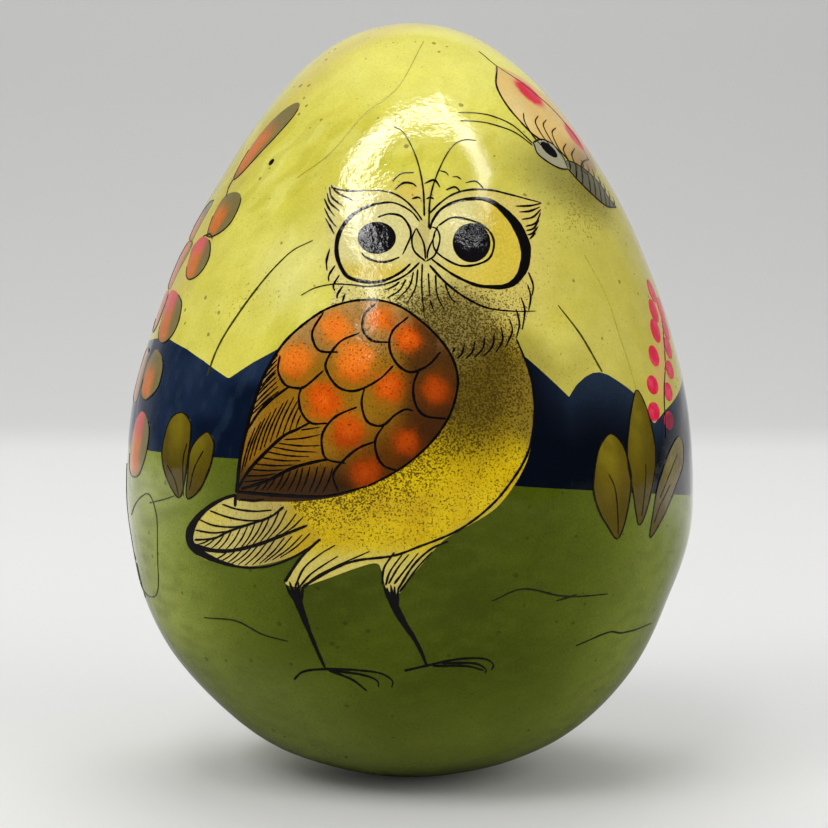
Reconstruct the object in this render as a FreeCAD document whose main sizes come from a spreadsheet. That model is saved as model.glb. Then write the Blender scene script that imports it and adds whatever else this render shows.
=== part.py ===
"""A hollow papier-mache egg painted with an owl, a butterfly and plants under clear lacquer.

The origin is under the middle of the rounded base, +Z runs up the egg's axis and the owl faces -Y.
Every layer of the wall is a ring between two depths below the finished surface. A painted shape is a
thin film: its outline, drawn on an upright plane through the axis, is carried straight out to the wall.
"""

import FreeCAD, Part
import math
import os
import Sketcher

os.makedirs("parts", exist_ok=True)
doc = FreeCAD.newDocument("PaintedEgg")


# ---------------------------------------------------------------- driving dimensions, millimetres and degrees

DIMENSIONS = [
    ("egg_height", 152.0, "base to crown, finished surface"),
    ("egg_diameter", 114.0, "widest circle, finished surface"),
    ("belly_height", 54.0, "height of the widest circle, where the two shells meet"),
    ("base_radius", 57.5, "rounding of the underside"),
    ("crown_radius", 30.0, "rounding of the top"),
    ("lacquer_top", 0.0, "depth of the lacquer's own face, the finished surface"),
    ("ink_top", 0.2, "depth of the ink lines under the lacquer"),
    ("film_top", 0.3, "depth of the painted shapes under the lacquer"),
    ("ground_top", 0.45, "depth of the background colours"),
    ("primer_top", 0.6, "depth of the white primer"),
    ("paper_top", 1.2, "depth of the pasted paper"),
    ("shell_top", 2.6, "depth of the pulp shells"),
    ("collar_top", 4.6, "inside of the shells"),
    ("cavity_top", 5.6, "inside of the joining collar"),
    ("ink_pocket_bottom", 0.38, "how deep the lacquer is opened for an ink line"),
    ("collar_height", 18.0, "joining collar, half of it in each shell"),
    ("gore_gap", 0.3, "gap between two pasted strips"),
    ("crown_patch_radius", 16.0, "round patch over the strips' upper tips"),
    ("base_patch_radius", 20.0, "round patch over the strips' lower tips"),
    ("reach", 66.0, "how far an outline is carried out from the axis"),
    ("vine_facing", -58.0, "direction of the vine's drawing plane, from the owl towards +X"),
    ("left_shrub_facing", -60.0, "direction of the left shrub's drawing plane"),
    ("right_shrub_facing", 60.0, "direction of the right shrub's and the blossom's drawing plane"),
    ("butterfly_facing", 50.0, "direction of the butterfly's drawing plane"),
    ("vine_leaf_bulge", 0.18, "sideways bulge of one leaf edge over the leaf's length"),
    ("shrub_leaf_bulge", 0.22, "the same for the broad shrub leaves"),
    ("limb_bulge", 0.05, "the same for the strokes of legs, toes and feelers"),
    ("left_eye_ring", 8.0, "outer radius of the ring around the owl's eye on the -X side"),
    ("right_eye_ring", 8.6, "outer radius of the ring around the owl's eye on the +X side"),
    ("eye_ring_width", 1.5, "width of the dark ring"),
    ("pupil_radius", 3.4, "owl's pupils"),
    ("feather_spot_radius", 2.2, "orange spots on the wing feathers"),
    ("petal_radius", 1.9, "round petals of the blossom spike"),
    ("wing_spot_bulge", 0.22, "bulge of the butterfly's red spots over their length"),
]

GORE_PAIRS = 4  # two strips face each other across the axis, so eight strips in all

sheet = doc.addObject("Spreadsheet::Sheet", "Dims")
size = {}
for row, (alias, value, meaning) in enumerate(DIMENSIONS, start=1):
    sheet.set(f"A{row}", alias)
    sheet.set(f"B{row}", str(value))
    sheet.set(f"C{row}", meaning)
    sheet.setAlias(f"B{row}", alias)
    size[alias] = value
doc.recompute()


# ---------------------------------------------------------------- helpers for sketches and bodies

START, END, CENTRE = 1, 2, 3  # Sketcher's numbers for the points of an edge
ORIGIN, AXIS_V = -1, -2  # Sketcher's numbers for a sketch's own origin and upright axis


def origin_plane(body, role):
    """The body's own origin plane with this role."""
    return next(f for f in body.Origin.OriginFeatures if f.Role == role)


def new_sketch(body, name, role):
    """An empty sketch on one of the body's origin planes."""
    sketch = body.newObject("Sketcher::SketchObject", name)
    sketch.AttachmentSupport = [(origin_plane(body, role), "")]
    sketch.MapMode = "FlatFace"
    return sketch


def bound(sketch, name, constraint, expression):
    """A named constraint whose value follows the sheet."""
    index = sketch.addConstraint(constraint)
    sketch.renameConstraint(index, name)
    sketch.setExpression(f"Constraints.{name}", expression)


def edge_point(sketch, edge, point, x, z):
    """Fixes a point of an edge at a place in the sketch."""
    sketch.addConstraint(Sketcher.Constraint("DistanceX", ORIGIN, START, edge, point, x))
    sketch.addConstraint(Sketcher.Constraint("DistanceY", ORIGIN, START, edge, point, z))


# ---------------------------------------------------------------- layers of the wall

def flank_radius(end_centre_height, end_radius):
    """Radius of the flank arc that is upright at the belly and touches an end arc on the axis."""
    belly = size["egg_diameter"] / 2
    rise = end_centre_height - size["belly_height"]
    return (belly ** 2 + rise ** 2 - end_radius ** 2) / (2 * (belly - end_radius))


def upright_arc(x, z, radius, start, end):
    """An arc in the sketch plane, angles in radians from the horizontal."""
    circle = Part.Circle(FreeCAD.Vector(x, z, 0), FreeCAD.Vector(0, 0, 1), radius)
    return Part.ArcOfCircle(circle, start, end)


def base_chain(sketch, depth):
    """Base arc and lower flank arc at this depth; returns their numbers."""
    d = size[depth]
    belly = size["egg_diameter"] / 2
    middle = size["belly_height"]
    flank = flank_radius(size["base_radius"], size["base_radius"])
    # The flank curves more tightly than the base, so the base's centre is beyond the flank's.
    meet = math.atan2(middle - size["base_radius"], belly - flank)
    meet = meet if meet < 0 else meet - math.pi
    base = sketch.addGeometry(
        upright_arc(0, size["base_radius"], size["base_radius"] - d, -math.pi / 2, meet), False)
    lower = sketch.addGeometry(upright_arc(belly - flank, middle, flank - d, meet, 0), False)
    sketch.addConstraint(Sketcher.Constraint("PointOnObject", base, CENTRE, AXIS_V))
    sketch.addConstraint(Sketcher.Constraint("PointOnObject", base, START, AXIS_V))
    sketch.addConstraint(Sketcher.Constraint("Tangent", base, END, lower, START))
    bound(sketch, f"{depth}_base_height",
          Sketcher.Constraint("DistanceY", ORIGIN, START, base, START, d), f"Dims.{depth}")
    bound(sketch, f"{depth}_base_radius",
          Sketcher.Constraint("Radius", base, size["base_radius"] - d), f"Dims.base_radius - Dims.{depth}")
    bound(sketch, f"{depth}_lower_centre",
          Sketcher.Constraint("DistanceY", ORIGIN, START, lower, CENTRE, middle), "Dims.belly_height")
    bound(sketch, f"{depth}_lower_end_x",
          Sketcher.Constraint("DistanceX", ORIGIN, START, lower, END, belly - d),
          f"Dims.egg_diameter / 2 - Dims.{depth}")
    bound(sketch, f"{depth}_lower_end_z",
          Sketcher.Constraint("DistanceY", ORIGIN, START, lower, END, middle), "Dims.belly_height")
    return base, lower


def crown_chain(sketch, depth, joined_to=None):
    """Upper flank arc and crown arc at this depth; joined_to is a lower flank they grow out of."""
    d = size[depth]
    belly = size["egg_diameter"] / 2
    middle = size["belly_height"]
    centre = size["egg_height"] - size["crown_radius"]
    flank = flank_radius(centre, size["crown_radius"])
    meet = math.atan2(centre - middle, flank - belly)
    upper = sketch.addGeometry(upright_arc(belly - flank, middle, flank - d, 0, meet), False)
    crown = sketch.addGeometry(
        upright_arc(0, centre, size["crown_radius"] - d, meet, math.pi / 2), False)
    if joined_to is None:
        bound(sketch, f"{depth}_upper_centre",
              Sketcher.Constraint("DistanceY", ORIGIN, START, upper, CENTRE, middle), "Dims.belly_height")
        bound(sketch, f"{depth}_upper_start_x",
              Sketcher.Constraint("DistanceX", ORIGIN, START, upper, START, belly - d),
              f"Dims.egg_diameter / 2 - Dims.{depth}")
        bound(sketch, f"{depth}_upper_start_z",
              Sketcher.Constraint("DistanceY", ORIGIN, START, upper, START, middle), "Dims.belly_height")
    else:
        sketch.addConstraint(Sketcher.Constraint("Tangent", joined_to, END, upper, START))
    sketch.addConstraint(Sketcher.Constraint("Tangent", upper, END, crown, START))
    sketch.addConstraint(Sketcher.Constraint("PointOnObject", crown, CENTRE, AXIS_V))
    sketch.addConstraint(Sketcher.Constraint("PointOnObject", crown, END, AXIS_V))
    bound(sketch, f"{depth}_crown_height",
          Sketcher.Constraint("DistanceY", ORIGIN, START, crown, END, size["egg_height"] - d),
          f"Dims.egg_height - Dims.{depth}")
    bound(sketch, f"{depth}_crown_radius",
          Sketcher.Constraint("Radius", crown, size["crown_radius"] - d),
          f"Dims.crown_radius - Dims.{depth}")
    return upper, crown


def closing_line(sketch, edge_a, point_a, edge_b, point_b):
    """A straight line between the ends of two edges."""
    a = sketch.getPoint(edge_a, point_a)
    b = sketch.getPoint(edge_b, point_b)
    line = sketch.addGeometry(Part.LineSegment(a, b), False)
    sketch.addConstraint(Sketcher.Constraint("Coincident", line, START, edge_a, point_a))
    sketch.addConstraint(Sketcher.Constraint("Coincident", line, END, edge_b, point_b))


def wall_layer(label, outer, inner, half="whole"):
    """A body of revolution between two depths: the whole egg, or its half below or above the belly."""
    body = doc.addObject("PartDesign::Body", label)
    sketch = new_sketch(body, f"{label}_profile", "YZ_Plane")
    if half == "whole":
        outer_base, outer_lower = base_chain(sketch, outer)
        outer_crown = crown_chain(sketch, outer, outer_lower)[1]
        inner_base, inner_lower = base_chain(sketch, inner)
        inner_crown = crown_chain(sketch, inner, inner_lower)[1]
        closing_line(sketch, outer_base, START, inner_base, START)
        closing_line(sketch, outer_crown, END, inner_crown, END)
    if half == "lower":
        outer_base, outer_lower = base_chain(sketch, outer)
        inner_base, inner_lower = base_chain(sketch, inner)
        closing_line(sketch, outer_base, START, inner_base, START)
        closing_line(sketch, outer_lower, END, inner_lower, END)
    if half == "upper":
        outer_upper, outer_crown = crown_chain(sketch, outer)
        inner_upper, inner_crown = crown_chain(sketch, inner)
        closing_line(sketch, outer_upper, START, inner_upper, START)
        closing_line(sketch, outer_crown, END, inner_crown, END)
    turn = body.newObject("PartDesign::Revolution", f"{label}_turn")
    turn.Profile = sketch
    turn.ReferenceAxis = (sketch, ["V_Axis"])
    turn.Angle = 360
    body.Tip = turn
    return body


# ---------------------------------------------------------------- outlines on upright planes

def outline_body(label, draw, facing=None):
    """The outlines that draw() puts on an upright plane, carried from the axis out past the wall."""
    body = doc.addObject("PartDesign::Body", label)
    body.AllowCompound = True
    sketch = new_sketch(body, f"{label}_outline", "XZ_Plane")
    draw(sketch)
    pad = body.newObject("PartDesign::Pad", f"{label}_pad")
    pad.Profile = sketch
    pad.setExpression("Length", "Dims.reach")
    body.Tip = pad
    if facing is not None:
        body.Placement.Rotation = FreeCAD.Rotation(FreeCAD.Vector(0, 0, 1), size[facing])
        body.setExpression("Placement.Rotation.Angle", f"Dims.{facing}")
    return body


def smooth_loop(sketch, points):
    """A smooth closed line through the points."""
    curve = Part.BSplineCurve()
    curve.interpolate(Points=[FreeCAD.Vector(x, z, 0) for x, z in points], PeriodicFlag=True)
    edge = sketch.addGeometry(curve, False)
    sketch.addConstraint(Sketcher.Constraint("Block", edge))


def straight_loop(sketch, points):
    """A closed line with corners at the points."""
    corners = [FreeCAD.Vector(x, z, 0) for x, z in points]
    edges = [sketch.addGeometry(Part.LineSegment(a, b), False)
             for a, b in zip(corners, corners[1:] + corners[:1])]
    for edge, following, (x, z) in zip(edges, edges[1:] + edges[:1], points):
        sketch.addConstraint(Sketcher.Constraint("Coincident", edge, END, following, START))
        edge_point(sketch, edge, START, x, z)


def lens(sketch, base, tip, bulge):
    """A pointed oval from base to tip; bulge names the sheet's bulge over length."""
    a = FreeCAD.Vector(*base, 0)
    b = FreeCAD.Vector(*tip, 0)
    side = FreeCAD.Vector(a.y - b.y, b.x - a.x, 0) * size[bulge]
    middle = (a + b) / 2
    edges = [sketch.addGeometry(Part.Arc(start, middle + out, end), False)
             for start, end, out in ((a, b, side), (b, a, side * -1))]
    # Part.Arc always runs anticlockwise, so the ends are looked up before they are joined.
    first, second = edges
    ends = {point: sketch.getPoint(first, point) for point in (START, END)}
    for point, place in ends.items():
        other = START if (sketch.getPoint(second, START) - place).Length < 1e-6 else END
        sketch.addConstraint(Sketcher.Constraint("Coincident", first, point, second, other))
        edge_point(sketch, first, point, place.x, place.y)
    length = (b - a).Length
    share = size[bulge]
    bound(sketch, f"edge_{first}_radius",
          Sketcher.Constraint("Radius", first, length * (0.25 + share ** 2) / (2 * share)),
          f"{length:.6f} mm * (0.25 + Dims.{bulge} ^ 2) / (2 * Dims.{bulge})")
    sketch.addConstraint(Sketcher.Constraint("Equal", first, second))


def disc(sketch, centre, radius, expression):
    """A circle whose radius follows the sheet."""
    circle = Part.Circle(FreeCAD.Vector(*centre, 0), FreeCAD.Vector(0, 0, 1), radius)
    edge = sketch.addGeometry(circle, False)
    edge_point(sketch, edge, CENTRE, *centre)
    bound(sketch, f"disc_{edge}_radius", Sketcher.Constraint("Radius", edge, radius), expression)


# ---------------------------------------------------------------- booleans

def common(label, base, tool):
    """The space that two objects share."""
    result = doc.addObject("Part::Common", label)
    result.Base = base
    result.Tool = tool
    return result


def cut(label, base, tool):
    """The first object without the second."""
    result = doc.addObject("Part::Cut", label)
    result.Base = base
    result.Tool = tool
    return result


def fuse(label, objects):
    """Several objects made one."""
    result = doc.addObject("Part::MultiFuse", label)
    result.Shapes = objects
    return result


# ---------------------------------------------------------------- hollow body: two shells, collar, paper

def joining_collar():
    """A cardboard ring inside the seam that lines the shells up."""
    lining = wall_layer("collar_lining", "collar_top", "cavity_top")
    band = doc.addObject("Part::Cylinder", "collar_band")
    band.setExpression("Radius", "Dims.reach")
    band.setExpression("Height", "Dims.collar_height")
    band.setExpression("Placement.Base.z", "Dims.belly_height - Dims.collar_height / 2")
    return common("joining_collar", lining, band)


def patch_cutter(label, radius, height):
    """An upright cylinder that marks out a round patch at one end of the egg."""
    cutter = doc.addObject("Part::Cylinder", label)
    cutter.setExpression("Radius", f"Dims.{radius}")
    cutter.setExpression("Height", "Dims.egg_height / 2")
    cutter.setExpression("Placement.Base.z", height)
    return cutter


def gore_slot(index):
    """A thin upright plate through the axis: the gap on both sides of the egg."""
    plate = doc.addObject("Part::Box", f"gore_slot_{index}")
    plate.setExpression("Length", "Dims.reach * 2")
    plate.setExpression("Width", "Dims.gore_gap")
    plate.setExpression("Height", "Dims.egg_height")
    turn = FreeCAD.Rotation(FreeCAD.Vector(0, 0, 1), 180.0 * index / GORE_PAIRS + 8.0)
    corner = FreeCAD.Vector(-size["reach"], -size["gore_gap"] / 2, 0)
    plate.Placement = FreeCAD.Placement(turn.multVec(corner), turn)
    return plate


def paper_pieces():
    """Eight pasted strips from crown to base, and the two round patches that hide their tips."""
    layer = wall_layer("paper_layer", "paper_top", "shell_top")
    crown_cutter = patch_cutter("crown_cutter", "crown_patch_radius", "Dims.egg_height / 2")
    base_cutter = patch_cutter("base_cutter", "base_patch_radius", "0 mm")
    slots = [gore_slot(index) for index in range(GORE_PAIRS)]
    gores = cut("paper_gores", layer, fuse("gore_cutter", slots + [crown_cutter, base_cutter]))
    crown = common("crown_patch", layer, crown_cutter)
    base = common("base_patch", layer, base_cutter)
    return [gores, crown, base]


# ---------------------------------------------------------------- background colours

HORIZON = [(-60, 66.8), (-50, 67.5), (-31, 67.6), (21, 62.8), (35, 61.4), (47, 59.6), (60, 57.2)]
SKYLINE = [(-60, 92.0), (-47, 88.8), (-41, 86.8), (-34, 82.3), (-29, 85.1), (-23, 87.9), (-10, 84.0),
           (0, 88.0), (12, 91.0), (21, 86.0), (29, 78.8), (32, 82.3), (35, 83.1), (38, 81.7),
           (43, 78.2), (46, 72.9), (48, 75.1), (53, 78.9), (60, 84.0)]
BACK_HORIZON = [(-60, 57.2), (-38, 60.0), (-12, 63.0), (14, 66.0), (40, 67.5), (60, 66.8)]
BACK_SKYLINE = [(-60, 84.0), (-50, 88.0), (-41, 80.5), (-30, 76.5), (-19, 84.5), (-6, 92.0), (5, 85.0),
                (15, 79.5), (26, 83.0), (37, 90.5), (48, 86.0), (60, 92.0)]
UNDERGROUND = -5.0  # height below the egg where the meadow's outlines end
BACK = 180.0


def land_body(label, top, bottom, back):
    """The band between two broken lines, on the owl's side or on the back."""
    body = outline_body(label, lambda sketch: straight_loop(sketch, top + bottom[::-1]))
    if back:
        body.Placement.Rotation = FreeCAD.Rotation(FreeCAD.Vector(0, 0, 1), BACK)
    return body


def background_pieces():
    """Sky, mountains and meadow, which share one layer edge to edge."""
    ground = wall_layer("ground_layer", "ground_top", "primer_top")
    floor = [(-60, UNDERGROUND), (60, UNDERGROUND)]
    mountains = fuse("mountain_shape", [
        land_body("mountain_front", SKYLINE, HORIZON, False),
        land_body("mountain_rear", BACK_SKYLINE, BACK_HORIZON, True)])
    meadow = fuse("meadow_shape", [
        land_body("meadow_front", HORIZON, floor, False),
        land_body("meadow_rear", BACK_HORIZON, floor, True)])
    return [common("mountain_paint", ground, mountains),
            common("meadow_paint", ground, meadow),
            cut("sky_paint", ground, fuse("land_shape", [mountains, meadow]))]


# ---------------------------------------------------------------- painted shapes

OWL_BODY = [(-15.3, 117.4), (-7.0, 114.2), (2.6, 111.4), (11.0, 115.8), (24.4, 114.8), (22.6, 106.0),
            (22.4, 98.0), (19.6, 89.0), (21.8, 80.0), (22.2, 73.0), (20.4, 66.0), (13.4, 57.6),
            (5.7, 53.0), (-5.9, 50.2), (-16.0, 52.0), (-24.0, 60.0), (-27.0, 72.0), (-22.0, 86.0),
            (-20.0, 97.0), (-16.0, 106.0)]
OWL_TAIL = [(-31.9, 60.6), (-38.0, 57.8), (-42.0, 52.0), (-40.4, 48.6), (-30.0, 47.9), (-19.4, 51.2),
            (-17.0, 56.5), (-22.0, 60.4)]
OWL_WING = [(-31.7, 61.1), (-31.1, 67.6), (-27.5, 81.0), (-20.4, 91.4), (-11.2, 96.2), (-2.9, 95.9),
            (4.1, 90.6), (8.3, 83.0), (6.7, 75.6), (-0.1, 67.8), (-7.8, 63.3), (-18.9, 61.1)]
FEATHER_SPOTS = [(-13.4, 91.9), (-5.6, 92.6), (-0.7, 89.2), (-10.1, 85.4), (-20.7, 85.3), (-16.1, 78.8),
                 (-3.9, 81.1), (4.3, 80.8), (-11.4, 72.9), (-1.2, 71.0), (-8.1, 66.2)]
LEFT_EYE = (-5.6, 107.3)
RIGHT_EYE = (12.4, 106.9)
BUTTERFLY_WING = [(-1.2, 141.6), (-5.4, 137.0), (-6.5, 132.5), (-5.0, 128.6), (-2.5, 126.2), (3.5, 124.2),
                  (8.0, 121.8), (13.5, 121.4), (16.9, 125.6), (14.8, 130.8), (10.5, 135.6), (4.6, 139.8)]
WING_SPOTS = [((1.2, 138.4), (6.4, 134.2)), ((11.2, 130.4), (13.4, 125.4))]
FEELERS = [((-6.2, 125.6), (-16.5, 130.2)), ((-6.0, 126.2), (-14.0, 131.4))]
VINE_LEAVES = [((-4.3, 119.8), (3.7, 134.1)), ((-3.4, 108.2), (2.6, 116.2)), ((-6.4, 99.8), (-0.6, 108.2)),
               ((-12.5, 88.0), (-4.4, 96.6)), ((-12.5, 77.2), (-6.5, 86.0)), ((-17.0, 62.4), (-6.8, 74.3)),
               ((-14.5, 103.0), (-10.5, 114.5))]
LEFT_SHRUB = [((10.3, 59.4), (9.0, 75.2)), ((12.6, 59.2), (17.5, 72.3)), ((-11.0, 60.5), (-10.0, 75.0))]
RIGHT_SHRUB = [((-17.2, 52.4), (-19.0, 71.9)), ((-11.6, 54.5), (-9.4, 79.3)), ((-8.2, 51.6), (6.0, 69.6))]
PETALS = [(10.2, 97.9), (6.9, 94.1), (4.6, 90.3), (0.5, 85.6), (-3.0, 80.4), (-3.6, 75.3),
          (13.2, 94.4), (12.2, 90.6), (9.9, 86.8), (7.4, 82.7), (4.0, 78.7), (2.2, 73.4)]
LEGS = [((-21.0, 45.0), (-16.2, 29.6)), ((-3.8, 45.4), (2.7, 30.4))]
TOES = [((-16.8, 28.5), (-21.8, 26.1)), ((-15.4, 28.8), (-3.6, 26.6)), ((-11.8, 27.2), (-8.1, 24.8)),
        ((-9.0, 26.6), (-6.0, 25.0)), ((2.4, 29.6), (-1.4, 28.5)), ((3.6, 30.2), (15.1, 29.6)),
        ((6.6, 29.0), (13.7, 27.4))]
HEAD_PLUMES = [((0.4, 123.5), (2.6, 112.2)), ((5.5, 121.0), (3.6, 112.2)), ((-3.0, 128.7), (0.0, 124.0)),
               ((11.8, 126.3), (6.0, 121.6))]
BEAK = ((3.05, 103.6), (3.05, 111.0))


def lenses(label, pairs, bulge, facing=None):
    """Several pointed ovals on one drawing plane."""
    def draw(sketch):
        for base, tip in pairs:
            lens(sketch, base, tip, bulge)
    return outline_body(label, draw, facing)


def owl_eye_discs(sketch):
    """The pale of both eyes, inside the dark rings."""
    for centre, ring in ((LEFT_EYE, "left_eye_ring"), (RIGHT_EYE, "right_eye_ring")):
        radius = size[ring] - size["eye_ring_width"]
        disc(sketch, centre, radius, f"Dims.{ring} - Dims.eye_ring_width")


def owl_eye_rings(sketch):
    """A dark ring around each eye."""
    owl_eye_discs(sketch)
    for centre, ring in ((LEFT_EYE, "left_eye_ring"), (RIGHT_EYE, "right_eye_ring")):
        disc(sketch, centre, size[ring], f"Dims.{ring}")


def owl_pupils(sketch):
    """A dark pupil in each eye."""
    for centre in (LEFT_EYE, RIGHT_EYE):
        disc(sketch, centre, size["pupil_radius"], "Dims.pupil_radius")


def feather_spots(sketch):
    """The orange spots on the wing."""
    for centre in FEATHER_SPOTS:
        disc(sketch, centre, size["feather_spot_radius"], "Dims.feather_spot_radius")


def blossom(sketch):
    """The petals of the blossom spike, in two rows."""
    for centre in PETALS:
        disc(sketch, centre, size["petal_radius"], "Dims.petal_radius")


def painted_pieces():
    """The painted films and the ink, and the lacquer that fills in around them."""
    film = wall_layer("film_layer", "film_top", "ground_top")
    ink = wall_layer("ink_layer", "ink_top", "film_top")

    body = outline_body("owl_body_shape", lambda sketch: smooth_loop(sketch, OWL_BODY))
    tail = outline_body("owl_tail_shape", lambda sketch: smooth_loop(sketch, OWL_TAIL))
    wing = outline_body("owl_wing_shape", lambda sketch: smooth_loop(sketch, OWL_WING))
    eyes = outline_body("owl_eye_shape", owl_eye_discs)
    spots = outline_body("feather_spot_shape", feather_spots)
    butterfly = outline_body(
        "butterfly_shape", lambda sketch: smooth_loop(sketch, BUTTERFLY_WING), "butterfly_facing")
    wing_spots = lenses("wing_spot_shape", WING_SPOTS, "wing_spot_bulge", "butterfly_facing")
    vine = lenses("vine_shape", VINE_LEAVES, "vine_leaf_bulge", "vine_facing")
    left_shrub = lenses("left_shrub_shape", LEFT_SHRUB, "shrub_leaf_bulge", "left_shrub_facing")
    right_shrub = lenses("right_shrub_shape", RIGHT_SHRUB, "shrub_leaf_bulge", "right_shrub_facing")
    petals = outline_body("petal_shape", blossom, "right_shrub_facing")

    rings = outline_body("eye_ring_shape", owl_eye_rings)
    pupils = outline_body("pupil_shape", owl_pupils)
    limbs = lenses("limb_shape", LEGS + TOES + HEAD_PLUMES + [BEAK], "limb_bulge")
    feelers = lenses("feeler_shape", FEELERS, "limb_bulge", "butterfly_facing")
    strokes = fuse("stroke_shape", [rings, pupils, limbs, feelers])

    owl = fuse("owl_shape", [body, tail])
    shrubs = fuse("shrub_shape", [left_shrub, right_shrub])
    films = [
        common("owl_body_paint", film, cut("owl_without_wing", owl, fuse("owl_openings", [wing, eyes]))),
        common("owl_wing_paint", film, cut("wing_without_spots", wing, spots)),
        common("feather_spot_paint", film, spots),
        common("owl_eye_paint", film, eyes),
        common("butterfly_paint", film, cut("butterfly_without_spots", butterfly, wing_spots)),
        common("butterfly_spot_paint", film, wing_spots),
        common("vine_leaf_paint", film, vine),
        common("shrub_leaf_paint", film, shrubs),
        common("petal_paint", film, cut("petals_clear_of_leaves", petals, right_shrub)),
        common("ink_lines", ink, strokes),
    ]

    # Each pocket in the lacquer is cut a little deeper than the film that fills it.
    lacquer = wall_layer("lacquer_layer", "lacquer_top", "ground_top")
    film_depth = wall_layer("film_pocket_layer", "film_top", "primer_top")
    ink_depth = wall_layer("ink_pocket_layer", "ink_top", "ink_pocket_bottom")
    painted = fuse("painted_shape", [owl, wing, butterfly, vine, shrubs, petals])
    pockets = fuse("lacquer_pockets", [
        common("film_pockets", film_depth, painted), common("ink_pockets", ink_depth, strokes)])
    return films + [cut("lacquer_coat", lacquer, pockets)]


# ---------------------------------------------------------------- build, check and write

def build():
    """Every physical piece, in order from the cavity outwards."""
    pieces = [
        joining_collar(),
        wall_layer("lower_shell", "shell_top", "collar_top", "lower"),
        wall_layer("upper_shell", "shell_top", "collar_top", "upper"),
    ]
    pieces += paper_pieces()
    pieces.append(wall_layer("primer_coat", "primer_top", "paper_top"))
    pieces += background_pieces()
    pieces += painted_pieces()
    return pieces


def check(pieces):
    """Stops if an object failed or a piece isn't sound."""
    failed = [o.Label for o in doc.Objects if {"Invalid", "Error"} & set(o.State)]
    unsound = [p.Label for p in pieces if p.Shape.isNull() or not p.Shape.isValid() or p.Shape.Volume <= 0]
    if failed or unsound:
        raise RuntimeError(f"failed: {failed}; unsound: {unsound}")


pieces = build()
doc.recompute()
check(pieces)
for piece in pieces:
    piece.Shape.exportStep(os.path.join("parts", f"{piece.Label}.step"))
    box = piece.Shape.BoundBox
    print(f"{piece.Label}: {len(piece.Shape.Solids)} solids, {piece.Shape.Volume:.1f} mm3, "
          f"z {box.ZMin:.2f} to {box.ZMax:.2f}")
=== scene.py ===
"""Looks of the painted papier-mache egg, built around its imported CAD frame.

The egg's lengths are in millimetres, and each of its meshes turns into metres as it is made; the camera's
and the studio's lengths are in metres. A motif is drawn in a chart: x and z on an upright plane through
the axis, whose facing is given in degrees, 0 for the owl's side (-Y) and growing towards +X. A chart
point is carried straight out to the painted surface.
"""

import math

import bpy
import numpy as np
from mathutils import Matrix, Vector
from mathutils.geometry import delaunay_2d_cdt


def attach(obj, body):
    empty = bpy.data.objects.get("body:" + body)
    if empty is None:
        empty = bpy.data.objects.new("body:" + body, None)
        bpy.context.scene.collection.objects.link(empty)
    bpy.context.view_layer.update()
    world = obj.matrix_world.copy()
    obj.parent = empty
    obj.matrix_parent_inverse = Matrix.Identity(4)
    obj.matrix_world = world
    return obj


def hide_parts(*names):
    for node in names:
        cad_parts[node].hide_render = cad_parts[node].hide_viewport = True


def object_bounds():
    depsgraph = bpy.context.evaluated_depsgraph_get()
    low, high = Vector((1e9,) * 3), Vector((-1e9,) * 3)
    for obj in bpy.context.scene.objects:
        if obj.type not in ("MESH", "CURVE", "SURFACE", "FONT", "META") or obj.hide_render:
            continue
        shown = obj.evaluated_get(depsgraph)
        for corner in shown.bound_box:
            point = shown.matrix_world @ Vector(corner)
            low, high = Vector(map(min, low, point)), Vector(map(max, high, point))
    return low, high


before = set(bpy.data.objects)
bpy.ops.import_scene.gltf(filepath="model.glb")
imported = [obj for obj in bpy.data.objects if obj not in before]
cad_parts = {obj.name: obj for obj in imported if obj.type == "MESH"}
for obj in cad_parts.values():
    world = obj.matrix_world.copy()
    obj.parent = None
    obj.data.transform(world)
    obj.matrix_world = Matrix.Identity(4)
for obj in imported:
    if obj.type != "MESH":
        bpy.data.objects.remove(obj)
cad_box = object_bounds()

MM = 0.001


# ---------------------------------------------------------------- shape of the egg

HEIGHT = (cad_box[1][2] - cad_box[0][2]) / MM
BELLY_RADIUS = (cad_box[1][0] - cad_box[0][0]) / MM / 2
DESIGN_HEIGHT = 152  # the height at which the next three lengths were chosen
BELLY_HEIGHT = HEIGHT * 54 / DESIGN_HEIGHT
BASE_RADIUS = HEIGHT * 57.5 / DESIGN_HEIGHT
CROWN_RADIUS = HEIGHT * 30 / DESIGN_HEIGHT
EASING = 4.0  # degrees about the belly's centre over which the arcs run into each other
STEPS_PER_DEGREE = 20
POLE_CLEARANCE = 6.0  # how close to the poles the bulges fade out
BULGES = ((0.5, 76, 13), (-0.75, 40, 11), (1.0, 7, 7))  # how far out the wall stands, the height, the spread
LEANS = ((0.5, 124, 18), (-0.35, 68, 18), (-1.05, 33, 11))  # how far the middle leans to +X, as above


def ray_to_circle(direction, centre, radius):
    """Distance from the belly's centre to a circle of the outline, seen along a direction."""
    along = centre @ direction
    return along + math.sqrt(along ** 2 - (centre @ centre - radius ** 2))


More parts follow.
